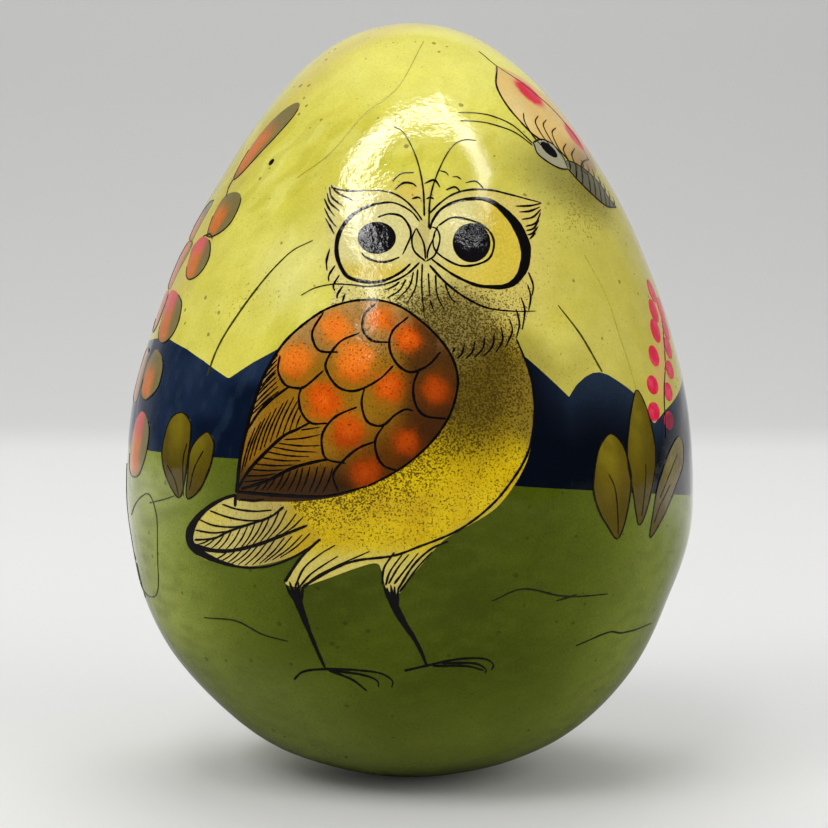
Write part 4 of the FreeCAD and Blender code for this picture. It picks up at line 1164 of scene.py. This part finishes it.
VINE_LEAVES = [  # base, tip, half width, tip colour, outline
    ((-1.4, 119.9), (5.1, 134.4), 4.6, GREY_OLIVE,
     [(-1.9, 119.8), (-2.6, 125), (-0.6, 130.5), (3.4, 133.8), (6.2, 134), (7, 131.4), (4.7, 126.2),
      (0.8, 120.8)]),
    ((0.5, 108.5), (3, 117), 4.2, GREY_OLIVE,
     [(-0.7, 108.5), (-2.6, 112), (-2.3, 115.7), (0.4, 116.9), (4.2, 116.6), (6.1, 114.6), (6, 111),
      (3.5, 109)]),
    ((-1.2, 100), (-2, 108.6), 5.3, PINK,
     [(-3.6, 108.4), (0.9, 107.6), (3.5, 105.1), (3.6, 102.7), (1.7, 100.8), (-1.5, 100.2), (-4.1, 101.3),
      (-5.9, 104), (-6.4, 106.5)]),
    ((-5, 87.9), (-6.5, 98), 5.6, PINK,
     [(-10.4, 98), (-6.8, 97.9), (-3.3, 96.9), (-0.7, 95.3), (0.2, 91.9), (-1.2, 89.2), (-4.6, 87.9),
      (-8.2, 88.9), (-10.4, 92), (-11.6, 96)]),
    ((-7, 77), (-5.5, 86.4), 5.2, GREY_OLIVE,
     [(-7.9, 86.5), (-3.9, 85.8), (-1.2, 83.6), (-1, 80), (-3.6, 78), (-7.4, 76.9), (-10.9, 78),
      (-11.4, 80.8), (-10.8, 83.8)]),
    ((-9.5, 62), (-8, 74.6), 6.4, PINK,
     [(-8.3, 74.6), (-5.3, 74), (-2.5, 71.6), (-2.6, 67.8), (-4.1, 64.9), (-7.2, 62.3), (-12.4, 61.9),
      (-15.8, 64.2), (-14.6, 69), (-11.6, 73)]),
    ((-11, 107.5), (-9, 115.6), 3.5, GREY_OLIVE,
     [(-8.8, 107.6), (-8, 110.5), (-6.8, 114), (-7.3, 115.6), (-10.5, 115.2), (-13.5, 112.5), (-13.8, 109.5),
      (-11.5, 107.8)]),
    ((-13.5, 98), (-10, 107.6), 4.2, ORANGE,
     [(-11.8, 98.4), (-10, 101.5), (-8.2, 104.5), (-7.3, 106.4), (-9, 107.6), (-13, 107), (-16.5, 103.5),
      (-16.6, 100), (-14.5, 98.4)]),
    ((-15, 90), (-13, 98), 4, PINK,
     [(-12.8, 91.5), (-12.3, 94), (-12, 96.4), (-13, 98), (-16, 97.5), (-19, 94), (-19, 91), (-16, 89.8)]),
    ((-17, 76), (-16, 86.5), 4, ORANGE,
     [(-14, 76.5), (-12.6, 80), (-12.6, 84), (-14.5, 86.5), (-19, 86), (-22, 82), (-21.5, 78), (-18, 76)]),
]
DRAWN_EDGE = 0.62  # share of a vine leaf's edge that is inked
PETALS = [(10.2, 97.9), (6.9, 94.1), (4.6, 90.3), (0.5, 85.6), (-3, 80.2), (-4.2, 75.2),
          (13.2, 94.4), (12.2, 90.6), (9.9, 86.8), (7.4, 82.7), (3.6, 78.6), (1.8, 73.2)]
PETAL_REACH = 2.2
SPIKES = [(RIGHT_SHRUB_FACING, 0.0), (BACK_SPIKE_FACING, -4.0)]  # facings of the spikes, and shifts in x
SPIKE_STEM = [(10.6, 92), (5.5, 84.2), (1.2, 78.3), (-0.5, 70)]


def petal_colours(x, z):
    """Bright red petals, darker where they stand before the mountains."""
    colours = layered(
        (220, 34, 70),
        ((232, 66, 98), ease(waves(upright(x, z), 3, 81))),
        ((128, 22, 52), 0.9 * ease((75.5 - z) / 1.5) * ease((x + 0.5) / 1.5)))
    return with_specks(colours, 0.1)


def petal(x, z):
    """A petal's outline; the petals are taller towards the top of the spike."""
    return ellipse((x, z), PETAL_REACH, 1.8 + 0.5 * ease((z - 82) / 8))


def shrub_ink(pens):
    """Leaf outlines and veins of the shrubs."""
    for facing, base, tip, outline, veins in SHRUB_LEAVES:
        edge = rounded(outline)
        turn = int(np.argmin(np.hypot(*(edge - tip).T)))
        pens[facing].line(edge[:turn + 1], 0.32, 0.42, 0.25)
        pens[facing].line(np.vstack([edge[turn:], edge[:1]]), 0.25, 0.5, 0.35)
        pens[facing].lines(veins, 0.2, 0.32, 0.3)


def vine_ink(pen):
    """Thin outlines on the right and lower sides of the vine's leaves, their stems and a dark dot."""
    for base, tip, width, _, outline in VINE_LEAVES:
        edge = rounded(outline)
        share, across = across_leaf(*edge.T, base, tip, width)
        edge = np.roll(edge, -int(np.argmax(across * 0.3 + share)), axis=0)
        if across_leaf(*edge[4:5].T, base, tip, width)[1] < 0:
            edge = edge[::-1]
        pen.line(edge[:int(DRAWN_EDGE * len(edge))], 0.2, 0.35, 0.3, 0.15)
    pen.lines([
        [(-0.7, 108.5), (-2, 108.7), (-3, 108.5)],
        [(-2.6, 108.6), (0, 108.9), (1.9, 107.9)],
        [(-1.8, 119.9), (-2, 118), (-0.9, 116.2)],
    ], 0.3, 0.35, 0.2)
    pen.line([(9, 123.1), (9.2, 121.9)], 1.3, 1.4)


# ---------------------------------------------------------------- butterfly

BUTTERFLY_FACING = 50.0
BUTTERFLY_FACINGS = (BUTTERFLY_FACING, 232.0)
WING_SHAPE = [(-1.2, 141.6), (-4.2, 139.2), (-5.9, 137), (-6.5, 134.3), (-6.3, 131.1), (-5, 128.6),
              (-2.8, 126.6), (0.6, 124.9), (4.6, 122.6), (8, 120.8), (13, 121.4), (16.8, 125), (16.9, 126.8),
              (14.4, 130), (11.6, 134.8), (7.8, 137.8), (3.6, 140.2)]
WING_SPOTS = [(2.9, 136.4, 3.2, 2.4, -32), (11.4, 128.1, 3.1, 2.3, -38)]  # x, z, half sizes, tilt
EYE_UPPER = [(-5.6, 126.2), (-2.8, 126.9), (-0.2, 126), (0.9, 123.9), (0.5, 121.3)]
EYE_LOWER = [(-5.6, 126.2), (-6, 124), (-4.2, 122.3), (-1.8, 121.3), (0.5, 121.2)]
ABDOMEN_UPPER = [(1.6, 123), (4.4, 122.3), (8, 120.5), (11, 118.2), (12.4, 116), (14.6, 114.2)]
ABDOMEN_LOWER = [(0.5, 121.3), (1.9, 119.2), (4.5, 116.8), (9.2, 114.4), (14.6, 114.2)]
BUTTERFLY_PUPIL = ellipse((-2.3, 124.9), 1.9, 1.3, -35)


def butterfly_colours(x, z):
    """Peach wing, brown at its root, with two red spots."""
    colours = layered(
        (236, 200, 122),
        ((206, 168, 88), ease((130 - z) / 7)),
        ((150, 124, 84), 0.85 * soft_spot(x, z, (9, 122.5), 12, 6)),
        ((240, 222, 160), 0.6 * soft_spot(x, z, (-4, 133), 4, 6)))
    for cx, cz, long, short, tilt in WING_SPOTS:
        turn = math.radians(tilt)
        u = (x - cx) * math.cos(turn) + (z - cz) * math.sin(turn)
        v = -(x - cx) * math.sin(turn) + (z - cz) * math.cos(turn)
        away = np.hypot(u / long, v / short)
        colours = layered(
            colours,
            ((238, 120, 96), 0.7 * ease(2.2 * (1.3 - away))),
            ((226, 34, 62), ease(5 * (1.04 - away))))
    return with_specks(colours, 0.2)


def butterfly_ink(pen):
    """Scalloped wing edge, striped body, eye and feelers."""
    pen.line([(-1.2, 141.6), (-5.7, 137.4), (-6.5, 133), (-5, 128.6), (-3, 126.6)], 0.25, 0.45, 0.5)
    pen.line([(-2.3, 144.6), (-1.1, 141.6), (2.5, 138.8), (6.3, 135.2), (9.8, 131.8), (12.3, 127.8),
              (11.6, 123.6)], 0.12, 0.22, 0.22, 0.15)
    pen.lines([
        [(-3.5, 132.1), (-4.7, 130.2), (-4.7, 127.6), (-3.9, 125.5)],
        [(0.5, 131.7), (-1.7, 130.3), (-2, 127.8), (-1.3, 125.5)],
        [(2.5, 131), (0.2, 129.7), (-0.1, 126.8), (0.5, 124.1)],
        [(4.3, 129.5), (1.7, 128.3), (1, 125.3), (2.2, 123)],
        [(4.7, 126.4), (2.3, 125), (2.2, 122.5)],
        [(7.4, 125.6), (4.3, 124), (3.8, 121.3)],
        [(12.6, 123.7), (7.7, 122.9), (5.4, 121.5), (6.4, 120.2)],
    ], 0.2, 0.38, 0.34)
    pen.lines([EYE_UPPER, EYE_LOWER], 0.35, 0.4, 0.3)
    pen.lines([ABDOMEN_UPPER, ABDOMEN_LOWER], 0.3, 0.42, 0.4, 0.3)
    upper, lower = smooth_line(ABDOMEN_UPPER, 0.3), smooth_line(ABDOMEN_LOWER, 0.3)
    for share in np.linspace(0.04, 0.9, 9):
        a = upper[int(share * (len(upper) - 1))]
        b = lower[int(share * (len(lower) - 1))]
        pen.line([a, (a + b) / 2 + (0.45, 0.3), b], 0.35, 0.5, 0.35)
    for share in np.linspace(0.3, 0.95, 7):
        a = upper[int(share * (len(upper) - 1))]
        pen.line([a, a + (0.9, 0.5), a + (1.3, 1.6)], 0.25, 0.22, 0.12)
    pen.line([(-5.9, 126), (-8.2, 129.4), (-11.4, 131.1), (-14.3, 131.6), (-17.4, 131.6)], 0.32, 0.28, 0.12)
    pen.line([(-6.2, 125.6), (-8.7, 128), (-12.2, 129.4), (-14.7, 129.9), (-18, 130)], 0.3, 0.28, 0.12)


def butterfly_body(x, z):
    """Grey-white eye and grey body."""
    return with_specks(tint((164, 160, 132), (104, 100, 74), ease((x - 0.4) / 0.8)), 0.3)


# ---------------------------------------------------------------- ground strokes and seams

def land_ink(pen, faint, seam, edge):
    """Strokes on the ground, long faint ones in the sky, the paper's seams, and lines at the left edge."""
    pen.lines([
        [(14.6, 42.1), (20.4, 44.1), (28.3, 42.1), (36.6, 41.7)],
        [(26.5, 41.3), (30.5, 42.3)],
        [(30.6, 31.9), (37.1, 33.7), (40.3, 33), (47, 33.1)],
    ], 0.2, 0.4, 0.2)
    pen.line([(-39, 36.8), (-32.5, 37), (-27.4, 34.9), (-22.6, 33.9)], 0.2, 0.3, 0.2)
    faint.lines([
        [(-18.1, 107.4), (-22.4, 105.1), (-27.5, 99.9), (-32.9, 92.6), (-36, 87.3), (-37.9, 82.3)],
        [(27, 95.5), (31.3, 89.9), (35.3, 83.1)],
    ], 0.15, 0.36, 0.3)
    seam.lines([
        [(-21.4, 119.3), (-15.1, 123.8), (-8.8, 131.3), (-2.5, 136.7), (2.4, 146.2)],
        [(32.4, 104.8), (36.9, 96.4), (39.2, 89.2), (42.1, 79.9)],
    ], 0.08, 0.16, 0.08)
    edge.line([(-22.1, 63.5), (-22.1, 58.8), (-21.4, 51.7), (-20.4, 46.8), (-17, 43.2), (-16.4, 37.1)],
              0.4, 0.7, 0.6, 0.4, 0.3)
    edge.line([(-13.9, 54), (-8.4, 57), (-1.8, 59.2), (1.4, 56.8), (1.8, 52), (-2.5, 41), (-9.8, 38.2),
               (-19.4, 39.5), (-20.1, 44.7), (-20.2, 49.7)], 0.2, 0.3, 0.25, 0.3, 0.25)
    edge.line([(-1, 57.5), (5.2, 58.7), (9.6, 59.8)], 0.25, 0.3, 0.15)


# ---------------------------------------------------------------- building the object

LACQUERS = {  # mottling, grain, the specks' colour, scale and cover, and the flecks' cover
    "sky": (0.08, 0.06, (122, 104, 34), 1900.0, 0.75, 0.7),
    "mountain": (0.22, 0.14, (4, 6, 16), 1500.0, 0.6, 0.0),
    "meadow": (0.1, 0.14, (38, 42, 2), 2200.0, 0.5, 0.5),
    "owl": (0.08, 0.12, (66, 47, 8), 2800.0, 0.9, 0.0),
    "wing": (0.14, 0.14, (44, 24, 4), 2500.0, 0.7, 0.0),
    "leaf": (0.15, 0.1, (52, 42, 6), 2200.0, 0.5, 0.0),
    "petal": (0.1, 0.04, (70, 45, 8), 1500.0, 0.6, 0.0),
    "butterfly": (0.08, 0.06, (120, 84, 24), 2200.0, 0.5, 0.0),
    "ink": (0.2, 0.15, (20, 14, 12), 1500.0, 0.6, 0.0),
}
PULPS = {  # the material's name, its light and dark colour, and fibres per metre
    "lower_shell": ("lower_shell_pulp", (150, 138, 118), (104, 92, 74), 260.0),
    "upper_shell": ("upper_shell_pulp", (156, 144, 122), (110, 98, 80), 260.0),
    "joining_collar": ("collar_cardboard", (172, 138, 92), (128, 98, 60), 420.0),
}
HIDDEN_LAYERS = ("primer_coat", "paper_gores", "crown_patch", "base_patch", "lacquer_coat")
OWL_INK, PLANT_INK, BUTTERFLY_INK, GROUND_INK = (10, 6, 6), (24, 18, 8), (30, 20, 12), (30, 32, 10)
FAINT_INK, SEAM_SHADE, LEFT_EDGE_INK = (66, 62, 18), (194, 184, 70), (52, 58, 22)

paint = {name: lacquered(name + "_lacquered", *look) for name, look in LACQUERS.items()}


def land():
    """The three skins all round the egg."""
    zone_piece("sky_skin", skyline, crown_pole, SKY_ROWS, sky_colours, paint["sky"], "sky_yellow",
               ("sky_paint",) + HIDDEN_LAYERS)
    zone_piece("mountain_skin", horizon, skyline, MOUNTAIN_ROWS, mountain_colours, paint["mountain"],
               "mountain_blue", ("mountain_paint",))
    zone_piece("meadow_skin", base_pole, horizon, MEADOW_ROWS, meadow_colours, paint["meadow"],
               "meadow_green", ("meadow_paint",))


def owl():
    """The owl's painted patches and its ink."""
    body = [(rounded(OWL_OUTLINE), OWL_FACING, body_colours),
            (rounded(TAIL_OUTLINE), OWL_FACING, tail_colours, TAIL_LIFT)]
    film_piece("owl_body", body, paint["owl"], "owl_mustard", "owl_body_paint")
    wing = [(rounded(WING_OUTLINE), OWL_FACING, wing_colours, UPPER_LIFT, FINE_STEP)]
    film_piece("owl_wing", wing, paint["wing"], "owl_brown", "owl_wing_paint", "feather_spot_paint")
    whites = [(rounded(outline), OWL_FACING, eye_colours, UPPER_LIFT)
              for outline in (LEFT_EYE_WHITE, RIGHT_EYE_WHITE)]
    film_piece("owl_eyes", whites, paint["owl"], "eye_yellow", "owl_eye_paint")
    pupils = [(outline, OWL_FACING, flat_ink, INK_RIDGE, FINE_STEP) for outline in (LEFT_PUPIL, RIGHT_PUPIL)]
    film_piece("owl_pupils", pupils, paint["ink"], "black_ink", "ink_lines")
    pen = Pen(OWL_FACING, OWL_INK)
    for part in (owl_head, owl_ruff, owl_body, owl_wing, owl_tail):
        part(pen)
    ink_piece("owl_ink", [pen])


def butterflies():
    """The butterfly beside the owl and the one on the back."""
    shapes = [(rounded(WING_SHAPE), butterfly_colours, FILM_LIFT),
              (rounded(EYE_UPPER + EYE_LOWER[:0:-1]), butterfly_body, UPPER_LIFT),
              (rounded(ABDOMEN_UPPER[:-1] + ABDOMEN_LOWER[::-1]), butterfly_body, UPPER_LIFT)]
    patches = [(outline, facing, colours_of, lift)
               for facing in BUTTERFLY_FACINGS for outline, colours_of, lift in shapes]
    film_piece("butterfly_wings", patches, paint["butterfly"], "butterfly_peach",
               "butterfly_paint", "butterfly_spot_paint")
    pupils = [(BUTTERFLY_PUPIL, facing, flat_ink, INK_RIDGE) for facing in BUTTERFLY_FACINGS]
    film_piece("butterfly_pupils", pupils, paint["ink"], "black_ink")
    pens = [Pen(facing, BUTTERFLY_INK) for facing in BUTTERFLY_FACINGS]
    for pen in pens:
        butterfly_ink(pen)
    ink_piece("butterfly_ink", pens)


def plants():
    """Shrubs, vine and blossom spikes, and their ink."""
    leaves = [(rounded(outline), facing, shrub_paint(base, tip))
              for facing, base, tip, outline, _ in SHRUB_LEAVES]
    film_piece("shrub_leaves", leaves, paint["leaf"], "leaf_olive", "shrub_leaf_paint")
    leaves = [(rounded(outline), VINE_FACING, vine_paint(base, tip, width, tip_colour))
              for base, tip, width, tip_colour, outline in VINE_LEAVES]
    film_piece("vine_leaves", leaves, paint["leaf"], "leaf_olive", "vine_leaf_paint")
    petals = [(petal(x + shift, z), facing, petal_colours, UPPER_LIFT)
              for facing, shift in SPIKES for x, z in PETALS]
    film_piece("blossom_petals", petals, paint["petal"], "petal_red", "petal_paint")
    facings = (LEFT_SHRUB_FACING, RIGHT_SHRUB_FACING, BACK_RIGHT_FACING, BACK_LEFT_FACING, BACK_SPIKE_FACING)
    pens = {facing: Pen(facing, PLANT_INK) for facing in facings}
    shrub_ink(pens)
    vine_ink(pens[VINE_FACING])
    for facing, shift in SPIKES:
        pens[facing].line(np.add(SPIKE_STEM, (shift, 0)), 0.2, 0.3, 0.35)
    ink_piece("plant_ink", list(pens.values()))


def ground():
    """Strokes on the ground and in the sky."""
    pens = [Pen(OWL_FACING, colour) for colour in (GROUND_INK, FAINT_INK, SEAM_SHADE)]
    pens.append(Pen(LEFT_SHRUB_FACING, LEFT_EDGE_INK))
    land_ink(*pens)
    ink_piece("land_ink", pens)


def inside_pieces():
    """Bare pulp on the pieces inside, which keep their CAD shape."""
    for name, look in PULPS.items():
        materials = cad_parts[name].data.materials
        materials.clear()
        materials.append(pulp(*look))


land()
owl()
butterflies()
plants()
ground()
inside_pieces()


# ---------------------------------------------------------------- camera

CAMERA_DISTANCE = 0.48
CAMERA_TILT = math.radians(3)
SENSOR = 36.0
FOCAL_SHARE = 2.86232  # focal length over the picture's side
AXIS_LEFT, AXIS_UP = 0.003261, 0.018357  # the lens's axis off the picture's middle, in picture sides

middle = Vector((0, 0, HEIGHT / 2 * MM))
sight = Vector((0, math.cos(CAMERA_TILT), -math.sin(CAMERA_TILT)))
camera_data = bpy.data.cameras.new("camera")
camera_data.sensor_width = SENSOR
camera_data.lens = SENSOR * FOCAL_SHARE
camera_data.shift_x = AXIS_LEFT
camera_data.shift_y = -AXIS_UP
camera = bpy.data.objects.new("camera", camera_data)
camera.location = middle - sight * CAMERA_DISTANCE
camera.rotation_euler = (math.pi / 2 - CAMERA_TILT, 0, 0)
bpy.context.scene.collection.objects.link(camera)
bpy.context.scene.camera = camera


# ---------------------------------------------------------------- studio

FLOOR_Z = WALL_Z[0] * MM
BACK, WIDTH, WALL_TOP, SWEEP = 1.6, 2.4, 2.2, 0.5  # the backdrop's reach, half width, height and bend radius
BEND_ROWS = 13
# painted shade: the backdrop greys from near to far, standing in for light falling off towards the wall
NEAR_PALE_LIT, FAR_PALE_SHADED = (244, 244, 244), (198, 198, 198)
SHADE_FROM, SHADE_TO = 0.88, 1.55  # where the backdrop's painted shade grows from its near to its far colour
DIM_FROM, DIM_TO, DIM_SHARE = 0.0, 0.35, 0.85  # Y where the mirrored floor stops being dim, and how dim
SIDE_DIM_FROM = 0.6  # how far out the mirrored backdrop starts to dim towards its sides
DIM_COLOUR = (0.01, 0.01, 0.01, 1.0)
LAMPS = [  # name, place, aim, side and power
    ("key", (-0.6, -0.9, 1.2), middle, 0.9, 13.5),
    ("fill", (0.8, -0.8, 0.5), middle, 0.9, 4),
    ("wall_wash", (0, 0.5, 1.6), (0, 1.4, 0.4), 1.0, 9),
]
SOFT_LIGHT, SOFT_STRENGTH = (1.0, 0.99, 0.97, 1.0), 0.44
DIM_LIGHT, DIM_STRENGTH = (0.9, 0.95, 1.0, 1.0), 0.05


def backdrop_paint():
    """Pale paint with painted shade greying it towards the wall, and dim at the front and sides where the
    lacquer mirrors it.
    """
    material, tree, shader = new_material("backdrop_paint")
    place = tree.add("ShaderNodeNewGeometry").outputs["Position"]
    across, depth, _ = tree.add("ShaderNodeSeparateXYZ", {0: place}).outputs
    # painted shade: greyer towards the wall, as the light falls off
    share = tree.to_range(depth, SHADE_FROM, SHADE_TO, 0.0, 1.0)
    colour = tree.mixed(share, (*linear(NEAR_PALE_LIT), 1.0), (*linear(FAR_PALE_SHADED), 1.0))
    front = tree.to_range(depth, DIM_FROM, DIM_TO, DIM_SHARE, 0.0)
    sides = tree.to_range(tree.math("ABSOLUTE", across), SIDE_DIM_FROM, WIDTH, 0.0, DIM_SHARE)
    mirrored = tree.add("ShaderNodeLightPath").outputs["Is Glossy Ray"]
    veil = tree.math("MULTIPLY", mirrored, tree.math("MAXIMUM", front, sides))
    tree.feed(shader["Base Color"], tree.mixed(veil, colour, DIM_COLOUR))
    tree.feed(shader["Roughness"], 0.9)
    tree.feed(shader["Specular IOR Level"], 0.1)
    return material


def backdrop():
    """A floor that sweeps up into a back wall."""
    turns = np.linspace(0, math.pi / 2, BEND_ROWS)
    bend = [(BACK - SWEEP + SWEEP * math.sin(t), SWEEP - SWEEP * math.cos(t)) for t in turns]
    profile = [(-BACK, 0.0), *bend, (BACK, WALL_TOP)]
    places = [(x, y, z + FLOOR_Z) for y, z in profile for x in (-WIDTH, WIDTH)]
    faces = [(2 * i, 2 * i + 1, 2 * i + 3, 2 * i + 2) for i in range(len(profile) - 1)]
    mesh = bpy.data.meshes.new("backdrop")
    mesh.from_pydata(places, [], faces)
    mesh.shade_smooth()
    mesh.materials.append(backdrop_paint())
    wall = bpy.data.objects.new("backdrop", mesh)
    bpy.context.scene.collection.objects.link(wall)


def area_light(name, place, aim, size, power):
    """A soft square lamp that lights the paint but doesn't mirror in the lacquer."""
    light = bpy.data.lights.new(name, "AREA")
    light.size = size
    light.energy = power
    lamp = bpy.data.objects.new(name, light)
    lamp.location = place
    lamp.rotation_euler = (Vector(place) - Vector(aim)).to_track_quat("Z", "Y").to_euler()
    lamp.visible_glossy = False
    bpy.context.scene.collection.objects.link(lamp)


def mirror_place(x, z, distance):
    """Where a lamp has to be to shine at this chart point of the owl's side, seen from the camera."""
    phi, z = from_chart([(x, z)], 0)
    r = radius_at(z)[0]
    point = Vector((axis_shift(z)[0] + r * math.sin(phi[0]), -r * math.cos(phi[0]), z[0])) * MM
    face_r = np.interp(z, WALL_Z, FACE_R)[0]
    face_z = np.interp(z, WALL_Z, FACE_Z)[0]
    facing = Vector((face_r * math.sin(phi[0]), -face_r * math.cos(phi[0]), face_z))
    sight_back = (camera.location - point).normalized()
    return point + (2 * facing.dot(sight_back) * facing - sight_back) * distance


ARCH = [  # chart x and z, half width and brightness of the lamp's mirror image
    (-8.2, 88, 1.2, 0.2), (-7.4, 94, 1.8, 0.35), (-7.2, 100, 2, 0.4), (-8, 105, 2.4, 0.5),
    (-9.2, 110, 2.8, 0.6), (-10.1, 115, 3.2, 0.9), (-9.4, 119.7, 3.2, 0.9), (-7.7, 123.3, 3.2, 0.9),
    (-5.3, 126.8, 3.2, 0.95), (-3.2, 129.4, 3.2, 1.0), (0.2, 131, 3.2, 1.0), (3.2, 131.2, 3.2, 0.95),
    (6.8, 129.9, 3.2, 0.75), (10.1, 128, 3.2, 0.6), (12.1, 124.4, 3.0, 0.5), (13.4, 120.9, 2.7, 0.5),
    (13.9, 117.6, 2.3, 0.4), (13.4, 113, 1.6, 0.2)]
GLINT = [(7.6, 111, 1.2, 0.3), (9.4, 109, 1.6, 0.6), (10.8, 107.4, 1.3, 0.4), (11.8, 106, 1.0, 0.0)]
BAND_ACROSS = ((-1, 0.0), (-0.65, 0.35), (-0.35, 1.0), (0.35, 1.0), (0.65, 0.35), (1, 0.0))
BAND_DISTANCE = 0.75
BAND_GLOW = 18.0


def band_lamp(name, points):
    """A bent soft-edged band of light, placed by its mirror image on the egg."""
    line = smooth_line(points, 1.0)
    along = np.gradient(line[:, :2], axis=0)
    along /= np.linalg.norm(along, axis=1)[:, None]
    side = np.stack([-along[:, 1], along[:, 0]], axis=1) * line[:, 2:3]
    places, strengths = [], []
    for (x, z, _, bright), out in zip(line, side):
        for share, glow in BAND_ACROSS:
            places.append(mirror_place(x + share * out[0], z + share * out[1], BAND_DISTANCE))
            strengths.append(bright * glow)
    row = len(BAND_ACROSS)
    faces = [(i * row + k, i * row + k + 1, (i + 1) * row + k + 1, (i + 1) * row + k)
             for i in range(len(line) - 1) for k in range(row - 1)]
    mesh = bpy.data.meshes.new(name)
    mesh.from_pydata([tuple(p) for p in places], [], faces)
    mesh.attributes.new("glow", "FLOAT", "POINT").data.foreach_set("value", strengths)
    material = bpy.data.materials.new(name + "_glow")
    tree = Nodes(material)
    tree.nodes.clear()
    glow = tree.add("ShaderNodeAttribute", attribute_name="glow").outputs["Fac"]
    strength = tree.to_range(glow, 0.0, 1.0, 0.0, BAND_GLOW)
    emission = tree.add("ShaderNodeEmission", {"Strength": strength}).outputs[0]
    tree.add("ShaderNodeOutputMaterial", {"Surface": emission})
    mesh.materials.append(material)
    lamp = bpy.data.objects.new(name, mesh)
    lamp.visible_diffuse = False
    bpy.context.scene.collection.objects.link(lamp)


def studio_air():
    """Even light from all round for the paint, and a dim room to mirror in the lacquer."""
    world = bpy.data.worlds.new("studio_air")
    bpy.context.scene.world = world
    tree = Nodes(world)
    tree.nodes.clear()
    mirrored = tree.add("ShaderNodeLightPath").outputs["Is Glossy Ray"]
    soft = tree.add("ShaderNodeBackground", {"Color": SOFT_LIGHT, "Strength": SOFT_STRENGTH}).outputs[0]
    dim = tree.add("ShaderNodeBackground", {"Color": DIM_LIGHT, "Strength": DIM_STRENGTH}).outputs[0]
    both = tree.add("ShaderNodeMixShader", {0: mirrored, 1: soft, 2: dim}).outputs[0]
    tree.add("ShaderNodeOutputWorld", {"Surface": both})


backdrop()
for lamp_settings in LAMPS:
    area_light(*lamp_settings)
band_lamp("arch_lamp", ARCH)
band_lamp("glint_lamp", GLINT)
studio_air()
bpy.context.scene.view_settings.view_transform = "Standard"
